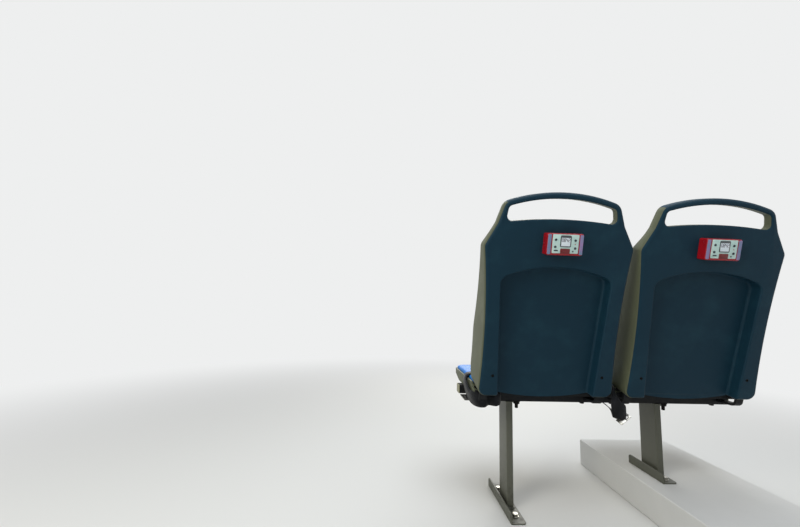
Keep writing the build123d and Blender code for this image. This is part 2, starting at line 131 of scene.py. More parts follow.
@dataclass(frozen=True)
class Finish:
    """One finish: a colour that gives way to a worn one in patches, over a fine relief."""

    name: str
    colour: str
    worn: str
    roughness: float = 0.5
    worn_roughness: float = 0.42
    metallic: float = 0.0
    patch: float = 60 * MM
    patch_start: float = 0.5
    patch_end: float = 0.75
    patch_detail: float = 5.0
    patch_roughness: float = 0.6
    grain: float = 1.3 * MM
    depth: float = 0.08 * MM
    gloss: float = 0.5

    def even_values(self) -> dict[str, float]:
        """Return the shader's values that are the same all over the surface."""
        return {"Metallic": self.metallic, "Specular IOR Level": self.gloss}

    def wear(self, tree: bpy.types.NodeTree, place: bpy.types.NodeSocket) -> bpy.types.NodeSocket:
        """Return how worn the surface is, from 0 to 1, in soft patches.

        Args:
            tree: the material's nodes.
            place: coordinates in metres.

        Returns:
            The output that holds it.
        """
        cloud = add_node(tree, "ShaderNodeTexNoise", None, {
            "Vector": place, "Scale": 1 / self.patch, "Detail": self.patch_detail,
            "Roughness": self.patch_roughness})
        level = add_node(tree, "ShaderNodeMapRange", None, {
            "Value": cloud.outputs["Fac"], "From Min": self.patch_start, "From Max": self.patch_end})
        return level.outputs["Result"]

    def relief(self, tree: bpy.types.NodeTree, place: bpy.types.NodeSocket) -> bpy.types.NodeSocket:
        """Return the height of the surface's relief, from 0 to 1: a soft orange peel.

        Args:
            tree: the material's nodes.
            place: coordinates in metres.

        Returns:
            The output that holds it.
        """
        peel = add_node(tree, "ShaderNodeTexNoise", None,
                        {"Vector": place, "Scale": 1 / self.grain, "Detail": 1.0})
        return peel.outputs["Fac"]

    def place(self, tree: bpy.types.NodeTree) -> bpy.types.NodeSocket:
        """Return the coordinates that the patterns use, in metres."""
        return add_node(tree, "ShaderNodeTexCoord").outputs["Object"]

    def make(self) -> bpy.types.Material:
        """Build the material.

        Returns:
            The material.
        """
        material = bpy.data.materials.new(self.name)
        material.use_nodes = True
        tree = material.node_tree
        shader = tree.nodes["Principled BSDF"]
        for name, value in self.even_values().items():
            shader.inputs[name].default_value = value
        place = self.place(tree)
        wear = self.wear(tree, place)
        colour = add_node(tree, "ShaderNodeMix", {"data_type": "RGBA"}, {
            MIX_FACTOR: wear, MIX_FIRST: linear(self.colour), MIX_SECOND: linear(self.worn)})
        roughness = add_node(tree, "ShaderNodeMapRange", None,
                             {"Value": wear, "To Min": self.roughness, "To Max": self.worn_roughness})
        bump = add_node(tree, "ShaderNodeBump", None,
                        {"Height": self.relief(tree, place), "Distance": self.depth, "Strength": 1.0})
        tree.links.new(colour.outputs[MIX_RESULT], shader.inputs["Base Color"])
        tree.links.new(roughness.outputs["Result"], shader.inputs["Roughness"])
        tree.links.new(bump.outputs["Normal"], shader.inputs["Normal"])
        return material


@dataclass(frozen=True)
class GrainedMoulding(Finish):
    """Moulded plastic, rubber or coated vinyl, with the leather grain of an eroded tool."""

    cell_blend: float = 0.6

    def relief(self, tree: bpy.types.NodeTree, place: bpy.types.NodeSocket) -> bpy.types.NodeSocket:
        """Return the height of the grain, from 0 to 1: rounded cells.

        Args:
            tree: the material's nodes.
            place: coordinates in metres.

        Returns:
            The output that holds it.
        """
        cells = add_node(tree, "ShaderNodeTexVoronoi", {"feature": "SMOOTH_F1"},
                         {"Vector": place, "Scale": 1 / self.grain, "Smoothness": self.cell_blend})
        return cells.outputs["Distance"]


@dataclass(frozen=True)
class PowderCoat(Finish):
    """Powder coated mild steel, darker near the floor where shoes scuff it."""

    patch_detail: float = 6.0
    scuff_height: float = 130 * MM
    wear_above: float = 0.15

    def wear(self, tree: bpy.types.NodeTree, place: bpy.types.NodeSocket) -> bpy.types.NodeSocket:
        """Return how scuffed the coat is, from 0 to 1.

        Args:
            tree: the material's nodes.
            place: coordinates in metres.

        Returns:
            The output that holds it.
        """
        height = add_node(tree, "ShaderNodeSeparateXYZ", None, {0: place})
        low = add_node(tree, "ShaderNodeMapRange", None, {
            "Value": height.outputs["Z"], "From Min": self.scuff_height, "From Max": 0.0,
            "To Min": self.wear_above, "To Max": 1.0})
        both = add_node(tree, "ShaderNodeMath", {"operation": "MULTIPLY"},
                        {0: super().wear(tree, place), 1: low.outputs["Result"]})
        return both.outputs[0]


@dataclass(frozen=True)
class WovenWebbing(Finish):
    """Polyester webbing in a herringbone weave, read from the strap's own UV map in metres."""

    sheen: float = 0.1
    sheen_roughness: float = 0.4
    threads_to_turn: int = 4

    def even_values(self) -> dict[str, float]:
        """Return the shader's values that are the same all over the surface."""
        return {**super().even_values(), "Sheen Weight": self.sheen, "Sheen Roughness": self.sheen_roughness}

    def place(self, tree: bpy.types.NodeTree) -> bpy.types.NodeSocket:
        """Return the coordinates across and along the strap, in metres."""
        return add_node(tree, "ShaderNodeUVMap").outputs["UV"]

    def relief(self, tree: bpy.types.NodeTree, place: bpy.types.NodeSocket) -> bpy.types.NodeSocket:
        """Return the height of the weave, from 0 to 1: slanted threads that turn back every few rows.

        Args:
            tree: the material's nodes.
            place: coordinates across and along the strap, in metres.

        Returns:
            The output that holds it.
        """
        parts = add_node(tree, "ShaderNodeSeparateXYZ", None, {0: place})
        across = add_node(tree, "ShaderNodeMath", {"operation": "PINGPONG"},
                          {0: parts.outputs["X"], 1: self.threads_to_turn * self.grain})
        slanted = add_node(tree, "ShaderNodeMath", {"operation": "ADD"},
                           {0: across.outputs[0], 1: parts.outputs["Y"]})
        threads = add_node(tree, "ShaderNodeMath", {"operation": "PINGPONG"},
                           {0: slanted.outputs[0], 1: self.grain / 2})
        height = add_node(tree, "ShaderNodeMapRange", None,
                          {"Value": threads.outputs[0], "From Max": self.grain / 2})
        return height.outputs["Result"]


@dataclass(frozen=True)
class ClearCoated(Finish):
    """Printed or glazed surface under a clear gloss layer."""

    coat_roughness: float = 0.05

    def even_values(self) -> dict[str, float]:
        """Return the shader's values that are the same all over the surface."""
        return {**super().even_values(), "Coat Weight": 1.0, "Coat Roughness": self.coat_roughness}


class Paint(Enum):
    """All finishes of the seat."""

    # Spark eroded grain on dark slate plastic: soft satin light, with slightly paler rubs.
    COVER = GrainedMoulding("slate_moulded_polypropylene", "#12303F", "#173846", 0.52, 0.46,
                            patch=90 * MM, depth=0.1 * MM, gloss=0.14)
    # The same moulding in a warm pebble grey.
    SHELL = GrainedMoulding("pebble_moulded_polypropylene", "#585C48", "#61654F", 0.52, 0.46,
                            patch=90 * MM, depth=0.1 * MM, gloss=0.2)
    # Painted shade: the same moulding in near black on the pan's rear skirt and underside, which lie out of
    # the light.
    UNDERSIDE = GrainedMoulding("pan_underside_painted_shade", "#17191B", "#1F2224", 0.52, 0.46,
                                patch=90 * MM, depth=0.1 * MM, gloss=0.15)
    # Coated vinyl on foam: saturated blue, satin, a little paler where people sit.
    PAD = GrainedMoulding("blue_coated_vinyl", "#0472C6", "#0C7ED2", 0.48, 0.42, patch=80 * MM,
                          grain=1.8 * MM, depth=0.05 * MM, gloss=0.3)
    # Powder coat with a fine orange peel, scuffed dark near the floor.
    STEEL = PowderCoat("pebble_powder_coat", "#5C5D52", "#47463E", 0.4, 0.55, patch=14 * MM,
                       patch_start=0.46, patch_end=0.7, grain=2.2 * MM, depth=0.04 * MM, gloss=0.3)
    # Near black on the tubes and brackets under the pans: thin and dull, browned by wear.
    DARK_STEEL = PowderCoat("near_black_underframe", "#1C1E21", "#302E2A", 0.42, 0.55, patch=16 * MM,
                            patch_start=0.45, patch_end=0.7, grain=2.2 * MM, depth=0.03 * MM, gloss=0.12,
                            scuff_height=700 * MM)
    # Moulded plugs of pale polyethylene: waxy, nearly smooth.
    CAP = Finish("ivory_moulded_cap", "#8A8869", "#7D7B5E", 0.42, 0.5, patch=20 * MM, depth=0.02 * MM,
                 gloss=0.4)
    # Zinc plate gone dull in the weather: mid grey with a blurred shine.
    ANCHOR = Finish("dull_zinc_plate", "#5B5A57", "#3E3D3A", 0.42, 0.55, 1.0, patch=12 * MM, grain=1.0 * MM,
                    depth=0.02 * MM)
    # Bright zinc plate of bolts and washers: small pale glints.
    BOLT = Finish("bright_zinc_plate", "#B9B7AF", "#8F8C84", 0.28, 0.42, 1.0, patch=5 * MM, grain=0.8 * MM,
                  depth=0.01 * MM)
    # Black oxide on small screws: a dark soft sheen.
    SCREW = Finish("black_oxide_screw", "#1D1C1B", "#121110", 0.4, 0.5, 1.0, patch=4 * MM, grain=0.8 * MM,
                   depth=0.01 * MM)
    # Chrome plated blade of the tongue: a clear mirror, slightly rubbed.
    BLADE = Finish("chrome_plate", "#C9C9C7", "#B5B4B0", 0.12, 0.25, 1.0, patch=8 * MM, depth=0.004 * MM)
    # Woven polyester; the 2.4 mm threads are drawn a little coarse so that the weave shows.
    BELT = WovenWebbing("black_polyester_webbing", "#0E1013", "#191B20", 0.55, 0.5, patch=40 * MM,
                        grain=2.4 * MM, depth=0.25 * MM, gloss=0.12)
    # Stitching thread of the belts, a little paler than the webbing.
    THREAD = Finish("charcoal_polyester_thread", "#2A2D33", "#383B42", 0.6, 0.65, patch=5 * MM,
                    grain=0.5 * MM)
    # Black ABS of the buckles and grips, lightly textured.
    BUCKLE = GrainedMoulding("black_moulded_abs", "#17181A", "#222326", 0.42, 0.34, patch=20 * MM,
                             grain=1.1 * MM, depth=0.04 * MM)
    # Smooth red ABS of the press buttons.
    PRESS = Finish("red_moulded_button", "#A5161C", "#8E1217", 0.34, 0.4, patch=10 * MM, depth=0.01 * MM)
    # Polished red ABS of the audio guides: sharp highlights along the edges.
    BOX = Finish("red_gloss_abs", "#A0101C", "#820C16", 0.22, 0.34, patch=30 * MM, grain=4 * MM,
                 depth=0.01 * MM)
    # The same ABS in a deeper red, rubbed matt by thumbs.
    LATCH = Finish("deep_red_abs", "#6F1216", "#5A1013", 0.4, 0.5, patch=12 * MM, grain=2 * MM,
                   depth=0.01 * MM)
    # Printed polyester foil, mint white and slightly mottled.
    FOIL = Finish("mint_printed_foil", "#C8E4DE", "#AFD3CE", 0.4, 0.34, patch=14 * MM, grain=2 * MM,
                  depth=0.005 * MM)
    # Soft rubber grips, blue grey that turns lilac where it has faded.
    GRIP = GrainedMoulding("faded_soft_rubber", "#7286A6", "#9A7FB0", 0.6, 0.55, patch=36 * MM,
                           patch_start=0.4, patch_end=0.62, grain=1.2 * MM, depth=0.03 * MM)
    # Dark moulded rubber of the keys: matt and nearly black.
    KEY = GrainedMoulding("black_rubber_key", "#1B2A30", "#26363C", 0.5, 0.45, patch=6 * MM, grain=0.8 * MM,
                          depth=0.02 * MM)
    # Dark printed frame of the display, under clear gloss.
    BEZEL = ClearCoated("black_printed_bezel", "#1A2A30", "#24343B", 0.3, 0.3, patch=20 * MM,
                        depth=0.003 * MM)
    # Liquid crystal behind its window: a pale grey field under gloss.
    GLASS = ClearCoated("liquid_crystal_window", "#E9F3FB", "#D3E2EE", 0.3, 0.3, patch=24 * MM,
                        depth=0.003 * MM)
    # Dark segments of the display, under the same gloss.
    SEGMENT = ClearCoated("liquid_crystal_segment", "#35293F", "#463A52", 0.3, 0.3, patch=10 * MM,
                          depth=0.003 * MM)
    # Matt pale paint on the step of the studio.
    STEP = Finish("matt_pale_paint", "#DADAD7", "#D4D4D1", 0.85, 0.8, patch=300 * MM, grain=3 * MM,
                  depth=0.02 * MM)

    def material(self) -> bpy.types.Material:
        """Return the material, made at its first use."""
        return bpy.data.materials.get(self.value.name) or self.value.make()


class Piece:
    """One mesh piece, shaped with a bmesh and then put on the frame."""

    def __init__(self, name: str) -> None:
        """Start an empty piece of that name."""
        self.name = name
        self.shape = bmesh.new()

    def from_node(self, node: str) -> "Piece":
        """Take over a solid's surface, with its loose triangles merged and its flat faces joined.

        Args:
            node: the solid's name.

        Returns:
            This piece.
        """
        self.shape.from_mesh(bpy.data.objects[node].data)
        bmesh.ops.remove_doubles(self.shape, verts=self.shape.verts, dist=MERGE)
        bmesh.ops.dissolve_limit(self.shape, angle_limit=FLAT, verts=self.shape.verts,
                                 edges=self.shape.edges, use_dissolve_boundaries=False)
        return self

    def rounded(self, edges: Sequence[bmesh.types.BMEdge], width: float, segments: int) -> None:
        """Round some edges.

        Args:
            edges: the edges.
            width: width of the rounding.
            segments: its steps.
        """
        bmesh.ops.bevel(self.shape, geom=edges, offset=width, offset_type="OFFSET", segments=segments,
                        profile=0.5, affect="EDGES", material=-1, clamp_overlap=True)

    def bevelled(self, verts: Iterable[bmesh.types.BMVert], width: float, segments: int = 2) -> None:
        """Round all edges between some corners.

        Args:
            verts: the corners.
            width: width of the rounding.
            segments: its steps.
        """
        chosen = set(verts)
        self.rounded([edge for edge in self.shape.edges if chosen.issuperset(edge.verts)], width, segments)

    def box(self, low: Sequence[float], high: Sequence[float], place: Matrix = Matrix(),
            bevel: float = 0.0, segments: int = 2) -> "Piece":
        """Add a box between two corners.

        Args:
            low: lowest corner, in metres.
            high: highest corner.
            place: where the box's own frame stands.
            bevel: width of the rounding of its edges.
            segments: steps of that rounding.

        Returns:
            This piece.
        """
        size = Vector(high) - Vector(low)
        stretch = Matrix.Translation((Vector(low) + Vector(high)) / 2) @ Matrix.Diagonal((*size, 1))
        made = bmesh.ops.create_cube(self.shape, size=1.0, matrix=place @ stretch)
        if bevel:
            self.bevelled(made["verts"], bevel, segments)
        return self

    def turned(self, profile: Sequence[tuple[float, float]], place: Matrix, steps: int = 24) -> None:
        """Add a shape spun about the Z axis of its own frame.

        Args:
            profile: radius and height of each point in millimetres, from the axis round to the axis.
            place: where the shape's own frame stands.
            steps: flats round a full turn.
        """
        before = set(self.shape.verts)
        points = [self.shape.verts.new((radius * MM, 0.0, height * MM)) for radius, height in profile]
        edges = [self.shape.edges.new(pair) for pair in zip(points, points[1:])]
        bmesh.ops.spin(self.shape, geom=points + edges, cent=(0, 0, 0), axis=(0, 0, 1), angle=2 * pi,
                       steps=steps, use_merge=True)
        fresh = [vert for vert in self.shape.verts if vert not in before]
        bmesh.ops.remove_doubles(self.shape, verts=fresh, dist=0.001 * MM)
        fresh = [vert for vert in self.shape.verts if vert not in before]
        bmesh.ops.transform(self.shape, matrix=place, verts=fresh)
        faces = {face for vert in fresh for face in vert.link_faces}
        bmesh.ops.recalc_face_normals(self.shape, faces=list(faces))

    def prism(self, low: float, high: float, radius: float, sides: int, place: Matrix,
              bevel: float = 0.0) -> None:
        """Add an upright prism or cylinder.

        Args:
            low: height of its lower face.
            high: height of its upper face.
            radius: out to its corners.
            sides: number of sides.
            place: where its own frame stands.
            bevel: width of the rounding of its edges.
        """
        shift = Matrix.Translation((0, 0, (low + high) / 2))
        made = bmesh.ops.create_cone(self.shape, cap_ends=True, cap_tris=False, segments=sides,
                                     radius1=radius, radius2=radius, depth=high - low, matrix=place @ shift)
        if bevel:
            self.bevelled(made["verts"], bevel, 1)

    def ribbon(self, stations: Sequence[Sequence[float]], width: float, steps: int = 6) -> "Piece":
        """Add a strip of webbing along a smooth course, with a UV map in metres.

        Args:
            stations: in millimetres, the strip's middle at each and then the way across it.
            width: its width, in metres.
            steps: cuts from one station to the next.

        Returns:
            This piece.
        """
        layer = self.shape.loops.layers.uv.new("weave")
        course = smooth_course([Vector(station) for station in stations], steps)
        spots = [(Vector(entry[:3]) * MM, Vector(entry[3:]).normalized() * width / 2) for entry in course]
        start, across = spots[0]
        ends = [self.shape.verts.new(start + side * across) for side in (-1, 1)]
        edge = self.shape.edges.new(ends)
        along = 0.0
        for (last, _), (spot, across) in zip(spots, spots[1:]):
            made = bmesh.ops.extrude_edge_only(self.shape, edges=[edge])["geom"]
            fresh = {part for part in made if isinstance(part, bmesh.types.BMVert)}
            pairs = [(old, next(other for other in (link.other_vert(old) for link in old.link_edges)
                                if other in fresh)) for old in ends]
            reach = along + (spot - last).length
            for side, (_, new) in zip((-1, 1), pairs):
                new.co = spot + side * across
            ends = [new for _, new in pairs]
            edge = self.shape.edges.get(ends)
            for loop in edge.link_loops[0].face.loops:
                side = -1 if loop.vert in pairs[0] else 1
                loop[layer].uv = (side * width / 2, reach if loop.vert in ends else along)
            along = reach
        return self

    def finished(self, paint: Paint, crease: float = SOLID_CREASE, bevel: float = 0.0,
                 slot: str | None = None, replaces: Sequence[str] = ()) -> bpy.types.Object:
        """Make the object, dress it and put it on the frame.

        Args:
            paint: its finish.
            crease: edges that turn more than this many degrees stay sharp.
            bevel: width of a bevel on its sharp edges.
            slot: the record's material slot; not used.
            replaces: solids that it stands for.

        Returns:
            The object.
        """
        limit = radians(crease)
        for face in self.shape.faces:
            face.smooth = True
        for edge in self.shape.edges:
            edge.smooth = edge.calc_face_angle(0.0) < limit
        mesh = bpy.data.meshes.new(self.name)
        self.shape.to_mesh(mesh)
        self.shape.free()
        mesh.materials.append(paint.material())
        piece = bpy.data.objects.new(self.name, mesh)
        bpy.context.scene.collection.objects.link(piece)
        if bevel:
            edge_bevel = piece.modifiers.new("edge", "BEVEL")
            edge_bevel.width = bevel
            edge_bevel.segments = 2
            edge_bevel.limit_method = "ANGLE"
            edge_bevel.angle_limit = limit
        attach(piece, BODY)
        if replaces:
            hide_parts(*replaces)
        log.info("%s: %d faces, %s", self.name, len(mesh.polygons), paint.name.lower())
        return piece


def smooth_course(stations: Sequence[Vector], steps: int) -> list[Vector]:
    """Run a smooth course through stations of any number of values.

    Args:
        stations: what it passes through.
        steps: cuts from one to the next.

    Returns:
        The course, with the stations on it.
    """
    course = []
    last = len(stations) - 1
    for index in range(last):
        before, start, end, after = (stations[max(0, min(last, index + shift))] for shift in (-1, 0, 1, 2))
        for step in range(steps):
            part = step / steps
            course.append(start + (end - before) * part / 2
                          + (before * 2 - start * 5 + end * 4 - after) * part ** 2 / 2
                          + (start * 3 - before - end * 3 + after) * part ** 3 / 2)
    course.append(stations[last])
    return course


def dress_solid(node: str, paint: Paint, slot: str, bevel: float = 0.0) -> None:
    """Stand a smooth shaded copy in for a solid, with its sharp edges broken by a bevel."""
    Piece(f"{node}_skin").from_node(node).finished(paint, bevel=bevel, slot=slot, replaces=[node])


def middle(node: str) -> Vector:
    """Return the middle of a solid's box."""
    low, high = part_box(node)
    return (low + high) / 2


def back_frame(place: str) -> Matrix:
    """Return where a back's own upright frame stands, leaning, at the foot of its rear face."""
    foot = Vector((middle(f"{place}_back_cover").x, BACK_FOOT.y, BACK_FOOT.z))
    return Matrix.Translation(foot) @ Matrix.Rotation(RECLINE, 4, "X")


def rear_frame(place: str, across: float, up: float, out: float = 0.0) -> Matrix:
    """Return a frame on the rear of a back, with X across it, Y up it and Z straight out.

    Args:
        place: the back's place.
        across: millimetres from its middle.
        up: millimetres above its foot.
        out: millimetres out of its rear face.

    Returns:
        The frame.
    """
    spot = Matrix.Translation(mm(across, -out, up))
    return back_frame(place) @ spot @ Matrix.Rotation(pi / 2, 4, "X")


def cut_across(shape: bmesh.types.BMesh, faces: Sequence[bmesh.types.BMFace], axis: Axis, level: float,
               snap: float) -> None:
    """Cut some faces along a plane that stands square to an axis.

    Args:
        shape: the mesh, which is changed.
        faces: the faces to cut.
        axis: the axis.
        level: where on the axis the plane stands.
        snap: how near a corner may lie to the plane without a cut beside it.
    """
    normal = Vector((0, 0, 0))
    normal[axis.value] = 1.0
    parts = {edge for face in faces for edge in face.edges} | {vert for face in faces for vert in face.verts}
    bmesh.ops.bisect_plane(shape, geom=[*parts, *faces], dist=snap, plane_co=normal * level, plane_no=normal)


@dataclass
class BackMoulding:
    """Rear cover and front shell of one back, with the screws that join them."""

    place: str
    front_depth: float = 27.5 * MM
    front_rounding: float = 6.0 * MM
    rim_turn: float = radians(50)
    crown_height: float = 598 * MM
    crown_slope: float = 0.5
    screw_spot: tuple[float, float] = (172, 69)
    screw_sink: float = 2.4
    # Radius and height in millimetres: a socket, the head, and the black finishing ring round it, which is
    # also painted shade round the screw.
    screw_profile: tuple[tuple[float, float], ...] = (
        (0, 0.7), (0.9, 0.7), (1.1, 1.9), (2.4, 1.9), (3, 1.4), (3, 3.2), (4.2, 3), (4.65, 2.3), (3, 1.3),
        (3, 0), (0, 0))

    def build(self) -> None:
        """Dress both mouldings and put the screws into their recesses."""
        dress_solid(f"{self.place}_back_cover", Paint.COVER, "shell_plastic")
        self.shell()
        self.screws()

    def shell(self) -> None:
        """Dress the front shell, with rounded rims, and slate over the crown of its hand hold."""
        node = f"{self.place}_back_shell"
        shell = Piece(f"{node}_skin").from_node(node)
        inward = back_frame(self.place).inverted()
        rims = []
        for edge in shell.shape.edges:
            near = min((inward @ vert.co).y for vert in edge.verts)
            if near > self.front_depth and edge.is_convex and edge.calc_face_angle(0.0) > self.rim_turn:
                rims.append(edge)
        shell.rounded(rims, self.front_rounding, 4)
        turn = inward.to_3x3()
        for face in shell.shape.faces:
            slope = (turn @ face.normal).z
            height = (inward @ face.calc_center_median()).z
            face.material_index = 1 if slope > self.crown_slope and height > self.crown_height else 0
        piece = shell.finished(Paint.SHELL, slot="shell_plastic", replaces=[node])
        piece.data.materials.append(Paint.COVER.material())

    def screws(self) -> None:
        """Put a screw with its finishing ring into each recess of the rear cover; the ring's black is partly
        a real ring and partly painted shade round the screw.
        """
        screws = Piece(f"{self.place}_cover_screws")
        across, up = self.screw_spot
        for side in SIDES.values():
            screws.turned(self.screw_profile, rear_frame(self.place, side * across, up, -self.screw_sink))
        screws.finished(Paint.SCREW, slot="shell_plastic")


@dataclass
class Pan:
    """Pan shell of one place, pebble outside, with painted shade in near black behind and beneath."""

    place: str
    edge: float = 0.7 * MM
    rearward: float = 0.7
    downward: float = 0.5

    def build(self) -> None:
        """Dress the pan shell, with painted shade in near black on its rear skirt and underside."""
        node = f"{self.place}_pan_shell"
        pan = Piece(f"{node}_skin").from_node(node)
        # Faces that look rearwards or downwards get the near black painted shade instead of pebble.
        for face in pan.shape.faces:
            dark = face.normal.y < -self.rearward or face.normal.z < -self.downward
            face.material_index = 1 if dark else 0
        piece = pan.finished(Paint.SHELL, bevel=self.edge, slot="shell_plastic", replaces=[node])
        piece.data.materials.append(Paint.UNDERSIDE.material())


@dataclass
class Cushion:
    """One pad: a swollen foam core under coated vinyl with sewn transverse channels."""

    node: str
    voxel: float = 5 * MM
    shrink: float = 0.6 * MM
    swell: float = 4.5 * MM
    pressure: float = 4.0
    frames: int = 20
    rib: float = 10.5 * MM
    groove: float = 1.3 * MM
    groove_half: float = 1.9 * MM
    groove_power: float = 1.5
    cut_slope: float = 0.6
    press_slope: float = 0.5
    cut_snap: float = 0.05 * MM
    border: float = 45 * MM
    border_fade: float = 5 * MM
    held_height: float = 2 * MM

    def own_frame(self, place: str) -> Matrix:
        """Return the pad's own frame: X across, Z out of its face."""
        if self.node == "seat_pad":
            return Matrix.Translation(middle(f"{place}_seat_pad"))
        return back_frame(place) @ Matrix.Rotation(-pi / 2, 4, "X")

    def core(self, place: str) -> bpy.types.Mesh:
        """Remesh the pad's solid evenly in its own frame.

        Args:
            place: the place whose solid is taken.

        Returns:
            The even mesh.
        """
        shape = bmesh.new()
        shape.from_mesh(bpy.data.objects[f"{place}_{self.node}"].data)
        bmesh.ops.remove_doubles(shape, verts=shape.verts, dist=MERGE)
        bmesh.ops.transform(shape, matrix=self.own_frame(place).inverted(), verts=shape.verts)
        bmesh.ops.recalc_face_normals(shape, faces=shape.faces)
        for vert in shape.verts:
            vert.normal_update()
        for vert in shape.verts:
            vert.co -= vert.normal * self.shrink
        mesh = bpy.data.meshes.new("pad_core")
        shape.to_mesh(mesh)
        shape.free()
        return self.baked(mesh, self.add_remesh)

    def add_remesh(self, piece: bpy.types.Object) -> None:
        """Give the working copy its voxel remesh."""
        remesh = piece.modifiers.new("even", "REMESH")
        remesh.mode = "VOXEL"
        remesh.voxel_size = self.voxel

    def add_cloth(self, piece: bpy.types.Object) -> None:
        """Give the working copy its cloth, blown up from inside and held at its base."""
        base = min(vert.co.z for vert in piece.data.vertices)
        held = piece.vertex_groups.new(name="held")
        low = [vert.index for vert in piece.data.vertices if vert.co.z < base + self.held_height]
        held.add(low, 1.0, "REPLACE")
        cloth = piece.modifiers.new("swell", "CLOTH")
        cloth.settings.use_pressure = True
        cloth.settings.uniform_pressure_force = self.pressure
        cloth.settings.effector_weights.gravity = 0.0
        cloth.settings.vertex_group_mass = "held"
        cloth.point_cache.frame_start = 1
        cloth.point_cache.frame_end = self.frames
        for frame in range(1, self.frames + 1):
            bpy.context.scene.frame_set(frame)

    def baked(self, mesh: bpy.types.Mesh, add: Callable[[bpy.types.Object], None]) -> bpy.types.Mesh:
        """Apply one modifier to a mesh by way of a passing object.

        Args:
            mesh: the mesh.
            add: gives the passing object its modifier.

        Returns:
            The mesh with the modifier applied.
        """
        piece = bpy.data.objects.new("pad_work", mesh)
        bpy.context.scene.collection.objects.link(piece)
        add(piece)
        graph = bpy.context.evaluated_depsgraph_get()
        result = bpy.data.meshes.new_from_object(piece.evaluated_get(graph))
        bpy.data.objects.remove(piece)
        return result

    def swollen(self, mesh: bpy.types.Mesh) -> None:
        """Blow the core up with a cloth simulation, and cap how far its points move.

        Args:
            mesh: the core, which is changed.
        """
        blown = self.baked(mesh.copy(), self.add_cloth)
        bpy.context.scene.frame_set(1)
        moves = [after.co - before.co for before, after in zip(mesh.vertices, blown.vertices)]
        highest = max(move.z for move in moves)
        log.info("%s swells %.1f mm before its cap", self.node, highest / MM)
        share = min(1.0, self.swell / highest)
        for vert, move in zip(mesh.vertices, moves):
            vert.co.z += max(0.0, move.z) * share

    def channel(self, spot: Vector, half: float, low: float, high: float) -> float:
        """Return how deep the sewn channels are at a spot of the face.

        Args:
            spot: the spot, in the pad's own frame.
            half: half width of the pad.
            low: start of the pad along Y.
            high: its end.

        Returns:
            Depth in metres.
        """
        inside = min(half - abs(spot.x), spot.y - low, high - spot.y) - self.border
        fade = min(1.0, max(0.0, inside / self.border_fade))
        phase = (spot.y - (low + high) / 2) % self.rib
        away = min(phase, self.rib - phase)
        return self.groove * fade * max(0.0, 1 - away / self.groove_half) ** self.groove_power

    def sewn(self, shape: bmesh.types.BMesh) -> None:
        """Cut the face along its channels and press them in.

        Args:
            shape: the pad in its own frame, which is changed.
        """
        half = max(vert.co.x for vert in shape.verts)
        low = min(vert.co.y for vert in shape.verts)
        high = max(vert.co.y for vert in shape.verts)
        count = int(((high - low) / 2 - self.border) / self.rib)
        inner = half - self.border
        cuts = [(Axis.X, side * (inner - fade * self.border_fade)) for side in (-1, 1) for fade in (0, 1)]
        for index in range(-count, count + 1):
            line = (low + high) / 2 + index * self.rib
            cuts += [(Axis.Y, line + step * self.groove_half) for step in (-1, -0.5, 0, 0.5, 1)]
        for axis, level in cuts:
            near = [face for face in shape.faces if face.normal.z > self.cut_slope
                    and abs(face.calc_center_bounds()[axis.value] - level) < self.voxel * 2]
            cut_across(shape, near, axis, level, self.cut_snap)
        for vert in shape.verts:
            if vert.normal.z > self.press_slope:
                vert.co.z -= self.channel(vert.co, half, low, high)

    def build(self) -> None:
        """Simulate the pad once, sew it and put a copy at each place."""
        mesh = self.core(PLACES[0])
        self.swollen(mesh)
        shape = bmesh.new()
        shape.from_mesh(mesh)
        shape.normal_update()
        self.sewn(shape)
        sewn = bpy.data.meshes.new(self.node)
        shape.to_mesh(sewn)
        shape.free()
        for place in PLACES:
            node = f"{place}_{self.node}"
            pad = Piece(f"{node}_skin")
            pad.shape.from_mesh(sewn)
            bmesh.ops.transform(pad.shape, matrix=self.own_frame(place), verts=pad.shape.verts)
            piece = pad.finished(Paint.PAD, SOFT_CREASE, slot="pad_cloth", replaces=[node])


